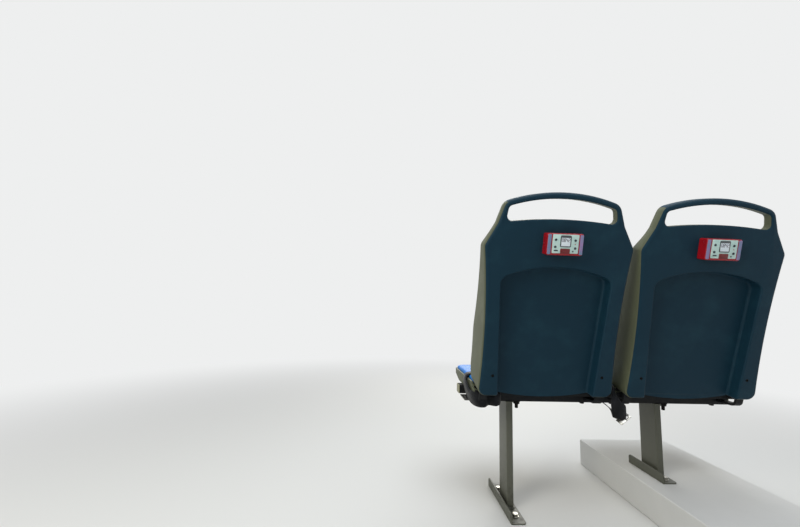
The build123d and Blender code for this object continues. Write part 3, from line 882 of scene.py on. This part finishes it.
@dataclass
class Underframe:
    """Tubes, links, legs, feet, bearers and arms, with their caps, welds and bolts."""

    edge: float = 0.5 * MM
    cap_edge: float = 0.8 * MM
    leg_half: tuple[float, float] = mm(11, 40)
    leg_mid_y: float = -2 * MM
    weld: float = 3.5 * MM
    weld_top: float = 0.3 * MM
    weld_rounding: float = 1.2 * MM
    # Each foot's middle, the height of its upper face, and how far fore and aft its bolts stand.
    feet: tuple[tuple[float, float, float], ...] = (mm(0, 4, 85), mm(515, 105, 57.5))
    foot_bolt_turn: float = 0.4
    tube_foot: float = 342 * MM
    anchor_spot: tuple[float, float] = mm(8, -8)
    clamp_spot: tuple[float, float] = mm(27, -32)
    anchor_scale: float = 0.8
    clamp_scale: float = 1.1
    # Radius and height in millimetres: the end that stands out of a nut, and the washer of an M12 bolt.
    clamp_end: tuple[tuple[float, float], ...] = ((0, 23), (4.6, 23), (5.6, 22), (5.6, 8), (0, 8))
    washer: tuple[tuple[float, float], ...] = ((0, 0), (11, 0), (11.3, 0.8), (11, 1.8), (0, 1.8))
    bolt_levels: tuple[float, float, float] = mm(1.8, 8.2, 8.6)
    head_radius: float = 9.8 * MM
    head_edge: float = 0.6 * MM
    crown_radius: float = 7.4 * MM

    def build(self) -> None:
        """Dress the steel and the caps, and add the welds and bolts."""
        for node in ("aisle_leg", "wall_leg", "aisle_foot", "wall_foot"):
            dress_solid(node, Paint.STEEL, "frame_steel", self.edge)
        dark = ["rear_tube", "front_tube", "tube_link_aisle", "tube_link_wall"]
        for place in PLACES:
            for side in SIDES:
                dark += [f"{place}_bearer_{side}", f"{place}_back_arm_{side}"]
                dress_solid(f"{place}_belt_anchor_{side}", Paint.ANCHOR, "anchor_steel", self.edge)
        for node in dark:
            dress_solid(node, Paint.DARK_STEEL, "frame_steel", self.edge)
        for tube in ("rear", "front"):
            for end in ("aisle", "wall"):
                dress_solid(f"{tube}_tube_cap_{end}", Paint.CAP, "cap_plastic", self.cap_edge)
        self.welds()
        self.bolts()

    def welds(self) -> None:
        """Lay a weld bead round each leg, on its foot and under its tube."""
        beads = Piece("leg_welds")
        half_x, half_y = (half + self.weld for half in self.leg_half)
        slope = self.weld - self.weld_top
        for x, foot, _ in self.feet:
            for level, rise in ((foot, self.weld), (self.tube_foot, -self.weld)):
                low, high = sorted((level, level + rise))
                before = set(beads.shape.verts)
                beads.box((x - half_x, self.leg_mid_y - half_y, low),
                          (x + half_x, self.leg_mid_y + half_y, high))
                corners = set(beads.shape.verts) - before
                for vert in corners:
                    if abs(vert.co.z - level) > self.weld / 2:
                        vert.co.x -= slope * (1 if vert.co.x > x else -1)
                        vert.co.y -= slope * (1 if vert.co.y > self.leg_mid_y else -1)
                beads.bevelled(corners, self.weld_rounding, 3)
        beads.finished(Paint.STEEL, SOFT_CREASE, slot="frame_steel")

    def bolts(self) -> None:
        """Put the floor bolts into the feet, and the anchor bolts under the rear tube."""
        bolts = Piece("foot_bolts")
        for x, z, reach in self.feet:
            for side in SIDES.values():
                turn = Matrix.Rotation(self.foot_bolt_turn * side, 4, "Z")
                self.bolt(bolts, Matrix.Translation((x, side * reach, z)) @ turn)
        bolts.finished(Paint.BOLT, slot="frame_steel")
        downwards = Matrix.Rotation(pi, 4, "X")
        anchors = Piece("anchor_bolts")
        inward, y = self.anchor_spot
        for place in PLACES:
            for side, away in SIDES.items():
                low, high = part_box(f"{place}_belt_anchor_{side}")
                spot = ((low.x + high.x) / 2 - away * inward, y, low.z)
                self.bolt(anchors, Matrix.Translation(spot) @ downwards, self.anchor_scale)
        anchors.finished(Paint.SCREW, slot="anchor_steel")
        clamps = Piece("frame_bolts")
        beside, y = self.clamp_spot
        for x, _, _ in self.feet:
            place = Matrix.Translation((x + beside, y, self.tube_foot)) @ downwards
            self.bolt(clamps, place, self.clamp_scale)
            clamps.turned(self.clamp_end, place, 20)
        clamps.finished(Paint.SCREW, slot="frame_steel")

    def bolt(self, bolts: Piece, place: Matrix, scale: float = 1.0) -> None:
        """Add a hexagon bolt head with its washer.

        Args:
            bolts: the piece that takes it.
            place: middle of the washer's lower face.
            scale: its size, where 1 is an M12 bolt.
        """
        place = place @ Matrix.Scale(scale, 4)
        washer_top, head_top, crown_top = self.bolt_levels
        bolts.turned(self.washer, place, 32)
        bolts.prism(washer_top, head_top, self.head_radius, 6, place, self.head_edge)
        bolts.prism(head_top, crown_top, self.crown_radius, 24, place)


@dataclass
class LapBelt:
    """Straps, buckle and tongue of one place."""

    place: str
    width: float = 46 * MM
    thickness: float = 2.0 * MM
    # A strap runs up or down where its face's normal has more than this share along X.
    upright_share: float = 0.7
    lap: float = 34 * MM
    lap_sink: float = 0.2 * MM
    lap_rise: float = 1.6 * MM
    lap_rounding: float = 0.7 * MM
    seam_margin: float = 4 * MM
    stitch: float = 5 * MM
    stitch_turn: float = radians(28)
    # Half size of one stitch, and how its thread is rounded.
    stitch_half: tuple[float, float] = mm(0.45, 2.6)
    stitch_levels: tuple[float, float] = mm(-0.3, 0.5)
    stitch_rounding: float = 0.3 * MM
    # Straps that hang slack: millimetres of X, Y and Z, and then the way across the webbing.
    courses: dict[str, tuple[tuple[float, ...], ...]] = field(default_factory=lambda: {
        "aisle_belt_strap_left": (
            (-43, 22, 422.3, 0, 1, 0), (-85, 22, 422.3, 0, 1, 0), (-118, 22, 422, 0, 1, 0),
            (-133, 20, 417, 0, 1, -0.05), (-141, 14, 404, 0, 0.97, -0.2), (-143, -10, 388, 0, 0.85, -0.5),
            (-141, -45, 370, 0, 0.7, -0.7), (-136, -78, 362, 0, 0.4, -0.9), (-124, -103, 361, 0, 0.1, -1),
            (-106, -112, 363, 0, -0.2, -1), (-88, -101, 366, 0, 0.1, -1), (-68, -111, 367, 0, -0.2, -1),
            (-50, -98, 369, 0, 0.1, -1), (-44, -75, 366, 0, 0.4, -0.9), (-70, -52, 362, 0, 0.7, -0.7),
            (-120, -30, 352, 0, 0.9, -0.4), (-138, 0, 343, 0, 1, 0)),
        "window_belt_strap_left": (
            (427, 22, 422.3, 0, 1, 0), (385, 22, 422.3, 0, 1, 0), (352, 22, 422, 0, 1, 0),
            (337, 20, 417, 0, 1, -0.05), (329, 10, 406, 0, 0.97, -0.2), (322, -20, 396, 0, 0.7, -0.7),
            (318, -70, 392, 0, 0.2, -1), (322, -110, 390, 0.15, 0.1, -1), (320, -131, 376, 0.7, -0.1, -0.6),
            (316, -138, 354, 1, -0.1, -0.2), (317, -138, 332, 1, 0, -0.25), (320, -131, 314, 1, 0.1, -0.4),
            (325, -116, 316, 0.9, 0.3, -0.3), (330, -80, 328, 0.6, 0.7, -0.2), (333, -30, 338, 0.2, 1, 0),
            (332, 5, 341, 0, 1, 0))})
    plate_spot: tuple[float, float, float] = mm(337, -130, 317)
    plate_turn: tuple[float, float] = (radians(32), radians(-38))
    plate_half: float = 1.2 * MM
    plate_edge: float = 0.5 * MM
    # Corners of the four bars round the plate's slot, in millimetres.
    plate_bars: tuple[tuple[float, float, float, float], ...] = (
        (-22, -11, 0, 11), (12, -11, 19, 11), (-2, -11, 14, -6), (-2, 6, 14, 11))
    housing_rounding: float = 5 * MM
    mouth_half: float = 15 * MM
    mouth_heights: tuple[float, float] = mm(-3.6, -0.4)
    mouth_depth: float = 14 * MM
    # Corners of the press button, from the middle of the upper edge at the buckle's mouth.
    button: tuple[tuple[float, ...], ...] = (mm(-24, -16, -4), mm(-3, 16, 0.7))
    button_rounding: float = 1.6 * MM
    rib_pitch: float = 3.2 * MM
    rib_width: float = 1.4 * MM
    rib_sink: float = 0.5 * MM
    rib_rounding: float = 0.4 * MM
    # First rib from the housing's or grip's end, half length and rise of the ribs.
    housing_ribs: tuple[float, float, float] = mm(9, 15, 0.6)
    grip_ribs: tuple[float, float, float] = mm(6, 16, 0.5)
    grip_length: float = 24 * MM
    grip_rounding: float = 3 * MM
    blade_half: tuple[float, float] = mm(13, 1.25)
    blade_edge: float = 0.5 * MM
    blade_root: float = 4 * MM
    blade_bar: float = 6 * MM
    hole: tuple[float, float] = mm(7, 15)
    hole_lap: float = 2 * MM

    def build(self) -> None:
        """Dress the straps, and build the buckle and the tongue."""
        for side in SIDES:
            node = f"{self.place}_belt_strap_{side}"
            if node in self.courses:
                strap = Piece(f"{node}_skin").ribbon(self.courses[node], self.width)
                piece = strap.finished(Paint.BELT, SOFT_CREASE, slot="belt_webbing", replaces=[node])
                wall = piece.modifiers.new("thickness", "SOLIDIFY")
                wall.thickness = self.thickness
                wall.offset = 0.0
            else:
                strap = Piece(f"{node}_skin").from_node(node)
                self.map_weave(strap.shape)
                strap.finished(Paint.BELT, SMALL_CREASE, slot="belt_webbing", replaces=[node])
            self.sewn_end(side)
        if self.place == "window":
            self.end_plate()
        self.buckle()
        self.tongue()

    def map_weave(self, shape: bmesh.types.BMesh) -> None:
        """Lay a UV map in metres over a strap: across it, and along its turns.

        Args:
            shape: the strap, which is changed.
        """
        layer = shape.loops.layers.uv.new("weave")
        for face in shape.faces:
            for loop in face.loops:
                spot = loop.vert.co
                along = spot.z if abs(face.normal.x) > self.upright_share else spot.x
                loop[layer].uv = (spot.y, along)

    def end_plate(self) -> None:
        """Build the plated end fitting that hangs from the slack strap between the backs."""
        plate = Piece(f"{self.place}_belt_end_plate")
        tilt, swing = self.plate_turn
        turn = Matrix.Rotation(swing, 4, "Y") @ Matrix.Rotation(tilt, 4, "X")
        place = Matrix.Translation(self.plate_spot) @ turn
        half = self.plate_half
        for x0, y0, x1, y1 in self.plate_bars:
            plate.box((*mm(x0, y0), -half), (*mm(x1, y1), half), place, self.plate_edge)
        plate.finished(Paint.BOLT, SMALL_CREASE, slot="tongue_steel")

    def sewn_end(self, side: str) -> None:
        """Lay the sewn lap of a strap, where it returns from its buckle or tongue, with its stitching.

        Args:
            side: left or right.
        """
        low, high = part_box(f"{self.place}_belt_strap_{side}")
        away = SIDES[side]
        end = high.x if away < 0 else low.x
        start_x, end_x = sorted((end, end + away * self.lap))
        middle_y = (low.y + high.y) / 2
        half = self.width / 2
        top = high.z + self.lap_rise
        lap = Piece(f"{self.place}_belt_lap_{side}")
        lap.box((start_x, middle_y - half, high.z - self.lap_sink), (end_x, middle_y + half, top),
                bevel=self.lap_rounding)
        self.map_weave(lap.shape)
        lap.finished(Paint.BELT, SMALL_CREASE, slot="belt_webbing")
        seam = Piece(f"{self.place}_belt_stitching_{side}")
        rows = (start_x + self.seam_margin, (start_x + end_x) / 2, end_x - self.seam_margin)
        count = int((self.width - 2 * self.seam_margin) / self.stitch)
        across, along = self.stitch_half
        below, above = self.stitch_levels
        for row in rows:
            for index in range(count):
                y = middle_y + (index - (count - 1) / 2) * self.stitch
                turn = Matrix.Rotation(self.stitch_turn if index % 2 else -self.stitch_turn, 4, "Z")
                seam.box((-across, -along, below), (across, along, above),
                         Matrix.Translation((row, y, top)) @ turn, self.stitch_rounding)
        seam.finished(Paint.THREAD, slot="belt_webbing")

    def ribs(self, piece: Piece, count: int, spot: Vector, sizes: tuple[float, float, float]) -> None:
        """Add a row of thin raised ribs that run across the belt.

        Args:
            piece: the piece that takes them.
            count: how many there are.
            spot: middle of the upper edge that they start from.
            sizes: how far away the first one is, half their length and their rise.
        """
        first, half, rise = sizes
        for index in range(count):
            foot = spot + Vector((first + index * self.rib_pitch, -half, -self.rib_sink))
            size = Vector((self.rib_width, 2 * half, self.rib_sink + rise))
            piece.box(foot, foot + size, bevel=self.rib_rounding)

    def buckle(self) -> None:
        """Build the buckle: a rounded housing with its slot, and the press button."""
        node = f"{self.place}_belt_buckle"
        low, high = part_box(node)
        centre = (low + high) / 2
        housing = Piece(f"{node}_housing").box(low, high, bevel=self.housing_rounding, segments=4)
        sides = [(Axis.Y, centre.y + side * self.mouth_half) for side in SIDES.values()]
        heights = [(Axis.Z, centre.z + height) for height in self.mouth_heights]
        for axis, level in sides + heights:
            end = [face for face in housing.shape.faces if face.normal.x > FACING]
            cut_across(housing.shape, end, axis, level, MERGE)
        spot = Vector((high.x, centre.y, centre.z + sum(self.mouth_heights) / 2))
        mouth = [face for face in housing.shape.faces
                 if face.normal.x > FACING and (face.calc_center_median() - spot).length < 1 * MM]
        deep = bmesh.ops.extrude_discrete_faces(housing.shape, faces=mouth)["faces"]
        corners = [vert for face in deep for vert in face.verts]
        bmesh.ops.translate(housing.shape, vec=(-self.mouth_depth, 0, 0), verts=corners)
        housing.finished(Paint.BUCKLE, SMALL_CREASE, slot="buckle_plastic", replaces=[node])
        ribs = Piece(f"{self.place}_buckle_ribs")
        self.ribs(ribs, 5, Vector((low.x, centre.y, high.z)), self.housing_ribs)
        ribs.finished(Paint.BUCKLE, slot="buckle_plastic")
        press = Piece(f"{self.place}_buckle_button")
        edge = Vector((high.x, centre.y, high.z))
        press_low, press_high = (edge + Vector(corner) for corner in self.button)
        press.box(press_low, press_high, bevel=self.button_rounding, segments=3)
        press.finished(Paint.PRESS, SMALL_CREASE, slot="buckle_plastic")

    def tongue(self) -> None:
        """Build the tongue: a moulded grip with finger ribs, and the plated blade with its hole."""
        node = f"{self.place}_belt_tongue"
        low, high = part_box(node)
        centre = (low + high) / 2
        grip_x = high.x - self.grip_length
        grip = Piece(f"{node}_grip")
        grip.box((grip_x, low.y, low.z), high, bevel=self.grip_rounding, segments=4)
        self.ribs(grip, 4, Vector((grip_x, centre.y, high.z)), self.grip_ribs)
        grip.finished(Paint.BUCKLE, SMALL_CREASE, slot="buckle_plastic", replaces=[node])
        blade = Piece(f"{node}_blade")
        half, thick = self.blade_half
        inner = half - self.blade_bar
        start, end = (low.x + level for level in self.hole)
        side_low, side_high = start - self.hole_lap, end + self.hole_lap
        bars = ((low.x, -half, start, half), (end, -half, grip_x + self.blade_root, half),
                (side_low, -half, side_high, -inner), (side_low, inner, side_high, half))
        for x0, y0, x1, y1 in bars:
            blade.box((x0, centre.y + y0, centre.z - thick), (x1, centre.y + y1, centre.z + thick),
                      bevel=self.blade_edge)
        blade.finished(Paint.BLADE, SMALL_CREASE, slot="tongue_steel")


@dataclass(frozen=True)
class Slab:
    """A flat slab on the rear of a back, in millimetres across the back, up it and out of it."""

    mid: tuple[float, float]
    size: tuple[float, float]
    levels: tuple[float, float]
    # Radius of its corners, and rounding of its front rim.
    corner: float = 0.0
    rim: float = 0.3

    def add_to(self, piece: Piece, place: str) -> None:
        """Add the slab to a piece, with rounded corners and a rounded front rim.

        Args:
            piece: the piece that takes it.
            place: the back's place.
        """
        before = set(piece.shape.verts)
        frame = rear_frame(place, *self.mid)
        low, high = ((side * self.size[0] / 2, side * self.size[1] / 2, level)
                     for side, level in zip((-1, 1), self.levels))
        piece.box(mm(*low), mm(*high), frame)
        out = frame.to_3x3() @ Vector((0, 0, 1))
        if self.corner:
            fresh = set(piece.shape.verts) - before
            uprights = [edge for edge in piece.shape.edges if fresh.issuperset(edge.verts)
                        and abs((edge.verts[0].co - edge.verts[1].co).normalized().dot(out)) > FACING]
            piece.rounded(uprights, self.corner * MM, 5)
        piece.shape.normal_update()
        fresh = set(piece.shape.verts) - before
        front = [face for face in piece.shape.faces
                 if face.normal.dot(out) > FACING and fresh.issuperset(face.verts)]
        piece.rounded(list({edge for face in front for edge in face.edges}), self.rim * MM, 2)


@dataclass
class AudioGuide:
    """Red housing with a printed face, display, keys and grips, on the rear of one back.

    Its sizes are millimetres: across the back from its middle, up it from its foot, and out of it.
    """

    place: str
    box_edge: float = 0.3
    face_levels: tuple[float, float] = (28, 29.5)
    face_mid: float = 484
    face_size: tuple[float, float] = (76, 54)
    grip_mid: tuple[float, float] = (46.7, 482)
    grip_size: tuple[float, float] = (9.5, 57)
    latch_rise: float = 6.5
    latch_size: tuple[float, float] = (28, 14.5)
    thumb_size: tuple[float, float] = (9, 6)
    thumb_side: float = -7
    display_size: tuple[float, float] = (32, 34)
    display_mid: float = 491.5
    window_size: tuple[float, float] = (26, 24)
    window_mid: float = 489.5
    figures: str = "0842"
    figure_mid: float = 494.9
    figure_pitch: float = 6.2
    figure_size: tuple[float, float] = (3.8, 10)
    bar: float = 1.5
    bar_gap: float = 0.2
    # Middle across and up, and radius, of each round key.
    keys: tuple[tuple[float, float, float], ...] = (
        (-29, 495.5, 3.6), (-29.5, 475, 3.6), (28, 494.5, 3.6), (28.8, 472, 3.6), (22.5, 463, 2.2))
    long_key_mid: tuple[float, float] = (-27, 464.6)
    long_key_size: tuple[float, float] = (12, 3.6)
    # The lamp's middle, and the radius and height of its points.
    lamp_mid: tuple[float, float] = (28, 483.5)
    lamp_profile: tuple[tuple[float, float], ...] = ((0, 0.7), (1.1, 0.5), (1.5, 0), (1.5, -0.3), (0, -0.3))

    def plate(self, name: str, paint: Paint, slot: str, slabs: Iterable[Slab],
              replaces: Sequence[str] = ()) -> None:
        """Make one piece of the box from slabs.

        Args:
            name: its name after the place.
            paint: its finish.
            slot: the record's material slot.
            slabs: the slabs.
            replaces: solids that it stands for.
        """
        piece = Piece(f"{self.place}_audio_{name}")
        for slab in slabs:
            slab.add_to(piece, self.place)
        piece.finished(paint, SMALL_CREASE, slot=slot, replaces=replaces)

    def build(self) -> None:
        """Dress the housing and add the face with its display, keys and grips."""
        dress_solid(f"{self.place}_audio_box", Paint.BOX, "box_plastic", self.box_edge * MM)
        low, high = self.face_levels
        face = Slab((0, self.face_mid), self.face_size, self.face_levels, corner=2.5)
        self.plate("face_skin", Paint.FOIL, "face_plastic", [face], [f"{self.place}_audio_face"])
        across, up = self.grip_mid
        grips = [Slab((side * across, up), self.grip_size, (low - 0.5, low + 1.1), corner=2.5, rim=0.6)
                 for side in (-1, 1)]
        self.plate("grips", Paint.GRIP, "box_plastic", grips)
        latch_mid = self.face_mid - self.face_size[1] / 2 + self.latch_rise
        latch = Slab((0, latch_mid), self.latch_size, (low, high + 0.9), corner=1.5, rim=0.6)
        thumb = Slab((self.thumb_side, latch_mid), self.thumb_size, (high, high + 1.5), corner=1.5, rim=0.4)
        self.plate("latch", Paint.LATCH, "box_plastic", [latch, thumb])
        self.display(high)
        self.controls(high)

    def display(self, level: float) -> None:
        """Build the display: a dark frame, its window and seven segment figures.

        Args:
            level: front of the face, from the back.
        """
        bezel = Slab((0, self.display_mid), self.display_size, (level - 0.3, level + 0.5), corner=4)
        self.plate("bezel", Paint.BEZEL, "face_plastic", [bezel])
        window = Slab((0, self.window_mid), self.window_size, (level, level + 0.8), corner=1.2, rim=0.2)
        self.plate("window", Paint.GLASS, "face_plastic", [window])
        lit = {"0": "abcdef", "8": "abcdefg", "4": "bcfg", "2": "abdeg"}
        wide, tall = self.figure_size
        flat = (wide - self.bar - self.bar_gap, self.bar)
        upright = (self.bar, tall / 2 - self.bar_gap)
        spots = {"a": (0, tall / 2, flat), "d": (0, -tall / 2, flat), "g": (0, 0, flat),
                 "b": (wide / 2, tall / 4, upright), "c": (wide / 2, -tall / 4, upright),
                 "f": (-wide / 2, tall / 4, upright), "e": (-wide / 2, -tall / 4, upright)}
        bars = []
        for index, figure in enumerate(self.figures):
            mid = (index - (len(self.figures) - 1) / 2) * self.figure_pitch
            for across, up, size in (spots[segment] for segment in lit[figure]):
                spot = (mid + across, self.figure_mid + up)
                bars.append(Slab(spot, size, (level + 0.75, level + 0.95), rim=0.05))
        self.plate("figures", Paint.SEGMENT, "face_plastic", bars)

    def controls(self, level: float) -> None:
        """Build the round keys, the long key and the red lamp.

        Args:
            level: front of the face, from the back.
        """
        keys = Piece(f"{self.place}_audio_keys")
        for across, up, radius in self.keys:
            profile = [(0, 1.5), (0.6 * radius, 1.4), (0.9 * radius, 1.0), (radius, 0.4), (radius, -0.3),
                       (0, -0.3)]
            keys.turned(profile, rear_frame(self.place, across, up, level), 20)
        long_key = Slab(self.long_key_mid, self.long_key_size, (level - 0.3, level + 1.0),
                        corner=1.7, rim=0.4)
        long_key.add_to(keys, self.place)
        keys.finished(Paint.KEY, SMALL_CREASE, slot="face_plastic")
        lamp = Piece(f"{self.place}_audio_lamp")
        lamp.turned(self.lamp_profile, rear_frame(self.place, *self.lamp_mid, level), 16)
        lamp.finished(Paint.PRESS, SMALL_CREASE, slot="face_plastic")


@dataclass(frozen=True)
class Lamp:
    """One square area lamp of the studio."""

    name: str
    place: tuple[float, float, float]
    aim: tuple[float, float, float]
    side: float
    watts: float
    colour: str

    def hang(self) -> None:
        """Hang the lamp at its place, so that it shines at its aim."""
        data = bpy.data.lights.new(self.name, "AREA")
        data.size = self.side
        data.energy = self.watts
        data.color = linear(self.colour)[:3]
        lamp = bpy.data.objects.new(self.name, data)
        lamp.location = self.place
        lamp.rotation_euler = (Vector(self.aim) - Vector(self.place)).to_track_quat("-Z", "Y").to_euler()
        bpy.context.scene.collection.objects.link(lamp)


@dataclass
class Studio:
    """Pale floor, the low step under the shorter leg, lights and the camera."""

    focal_px: float = 364.6
    picture_width_px: float = 800.0
    sensor: float = 36.0
    camera_place: Vector = field(default_factory=lambda: Vector((-0.4319, -1.3045, 0.6498)))
    yaw: float = radians(2.2465)
    pitch: float = radians(6.7804)
    roll: float = radians(1.482)
    background: str = "#EEEFEF"
    floor_paint: str = "#DADAD7"
    floor_roughness: float = 0.85
    floor_reach: float = 15.0
    floor_depth: float = 0.02
    melt: tuple[float, float] = (0.9, 3.6)
    step: tuple[tuple[float, float, float], ...] = ((0.43, -0.32, 0), (0.80, 0.32, 0.101))
    step_edge: float = 4 * MM
    fill: float = 0.27
    fill_colour: str = "#F2F5F8"
    lamps: tuple[Lamp, ...] = (
        Lamp("key", (-2.2, -1.7, 1.7), (0.2, -0.1, 0.5), side=1.2, watts=36, colour="#FFFCF2"),
        Lamp("sky", (0.2, -0.5, 2.9), (0.3, -0.1, 0.4), side=2.4, watts=58, colour="#F2F7FF"),
        Lamp("front", (0.7, 2.3, 1.8), (0.2, 0.0, 0.5), side=1.6, watts=34, colour="#FFFDF6"))

    def camera(self) -> None:
        """Set the camera at the photograph's viewing angle, low in the aisle behind the seat."""
        forward = Vector((sin(self.yaw) * cos(self.pitch), cos(self.yaw) * cos(self.pitch), sin(self.pitch)))
        level = Vector((cos(self.yaw), -sin(self.yaw), 0.0))
        above = level.cross(forward)
        right = level * cos(self.roll) + above * sin(self.roll)
        up = above * cos(self.roll) - level * sin(self.roll)
        data = bpy.data.cameras.new("aisle_camera")
        data.sensor_width = self.sensor
        data.lens = self.focal_px / self.picture_width_px * self.sensor
        data.clip_start = 0.01
        camera = bpy.data.objects.new("aisle_camera", data)
        turn = Matrix((right, up, -forward)).transposed().to_4x4()
        camera.matrix_world = Matrix.Translation(self.camera_place) @ turn
        bpy.context.scene.collection.objects.link(camera)
        bpy.context.scene.camera = camera

    def floor_material(self) -> bpy.types.Material:
        """Build the floor's paint, which melts into the background far from the seat.

        Returns:
            The material.
        """
        material = bpy.data.materials.new("studio_floor")
        material.use_nodes = True
        tree = material.node_tree
        shader = tree.nodes["Principled BSDF"]
        shader.inputs["Base Color"].default_value = linear(self.floor_paint)
        shader.inputs["Roughness"].default_value = self.floor_roughness
        place = add_node(tree, "ShaderNodeTexCoord").outputs["Object"]
        away = add_node(tree, "ShaderNodeVectorMath", {"operation": "LENGTH"}, {0: place})
        far = add_node(tree, "ShaderNodeMapRange", {"interpolation_type": "SMOOTHSTEP"}, {
            "Value": away.outputs["Value"], "From Min": self.melt[0], "From Max": self.melt[1]})
        rays = add_node(tree, "ShaderNodeLightPath")
        mirrored = add_node(tree, "ShaderNodeMath", {"operation": "MAXIMUM"},
                            {0: rays.outputs["Is Glossy Ray"], 1: rays.outputs["Is Camera Ray"]})
        share = add_node(tree, "ShaderNodeMath", {"operation": "MULTIPLY"},
                         {0: far.outputs["Result"], 1: mirrored.outputs[0]})
        glow = add_node(tree, "ShaderNodeEmission", None, {"Color": linear(self.background), "Strength": 1.0})
        both = add_node(tree, "ShaderNodeMixShader", None,
                        {0: share.outputs[0], 1: shader.outputs[0], 2: glow.outputs[0]})
        tree.links.new(both.outputs[0], tree.nodes["Material Output"].inputs["Surface"])
        return material

    def stage_block(self, name: str, low: Sequence[float], high: Sequence[float],
                    material: bpy.types.Material, bevel: float = 0.0) -> None:
        """Add a block of the studio, which isn't part of the seat.

        Args:
            name: its name.
            low: its lowest corner.
            high: its highest corner.
            material: its material.
            bevel: width of its rounded edges.
        """
        block = Piece(name).box(low, high, bevel=bevel, segments=4)
        mesh = bpy.data.meshes.new(name)
        block.shape.to_mesh(mesh)
        block.shape.free()
        mesh.materials.append(material)
        piece = bpy.data.objects.new(name, mesh)
        bpy.context.scene.collection.objects.link(piece)

    def world(self) -> None:
        """Light from all round, with a pale background where it is seen or mirrored."""
        world = bpy.data.worlds.new("studio")
        world.use_nodes = True
        bpy.context.scene.world = world
        tree = world.node_tree
        tree.nodes.clear()
        rays = add_node(tree, "ShaderNodeLightPath")
        mirrored = add_node(tree, "ShaderNodeMath", {"operation": "MAXIMUM"},
                            {0: rays.outputs["Is Glossy Ray"], 1: rays.outputs["Is Transmission Ray"]})
        seen = add_node(tree, "ShaderNodeMath", {"operation": "MAXIMUM"},
                        {0: rays.outputs["Is Camera Ray"], 1: mirrored.outputs[0]})
        fill = add_node(tree, "ShaderNodeBackground", None,
                        {"Color": linear(self.fill_colour), "Strength": self.fill})
        backdrop = add_node(tree, "ShaderNodeBackground", None,
                            {"Color": linear(self.background), "Strength": 1.0})
        both = add_node(tree, "ShaderNodeMixShader", None,
                        {0: seen.outputs[0], 1: fill.outputs[0], 2: backdrop.outputs[0]})
        add_node(tree, "ShaderNodeOutputWorld", None, {0: both.outputs[0]})

    def build(self) -> None:
        """Set up the whole studio."""
        bpy.context.scene.view_settings.view_transform = "Standard"
        self.camera()
        self.world()
        reach = self.floor_reach
        floor = self.floor_material()
        self.stage_block("floor", (-reach, -reach, -self.floor_depth), (reach, reach, 0), floor)
        self.stage_block("side_step", *self.step, Paint.STEP.material(), self.step_edge)
        for lamp in self.lamps:
            lamp.hang()


def main() -> None:
    """Dress the seat and set up the studio."""
    logging.basicConfig(level=logging.INFO, format="%(name)s %(message)s")
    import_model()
    Studio().build()
    Underframe().build()
    for place in PLACES:
        BackMoulding(place).build()
        Pan(place).build()
        LapBelt(place).build()
        AudioGuide(place).build()
    for cushion in (Cushion("seat_pad"), Cushion("back_pad")):
        cushion.build()


if __name__ == "__main__":
    main()
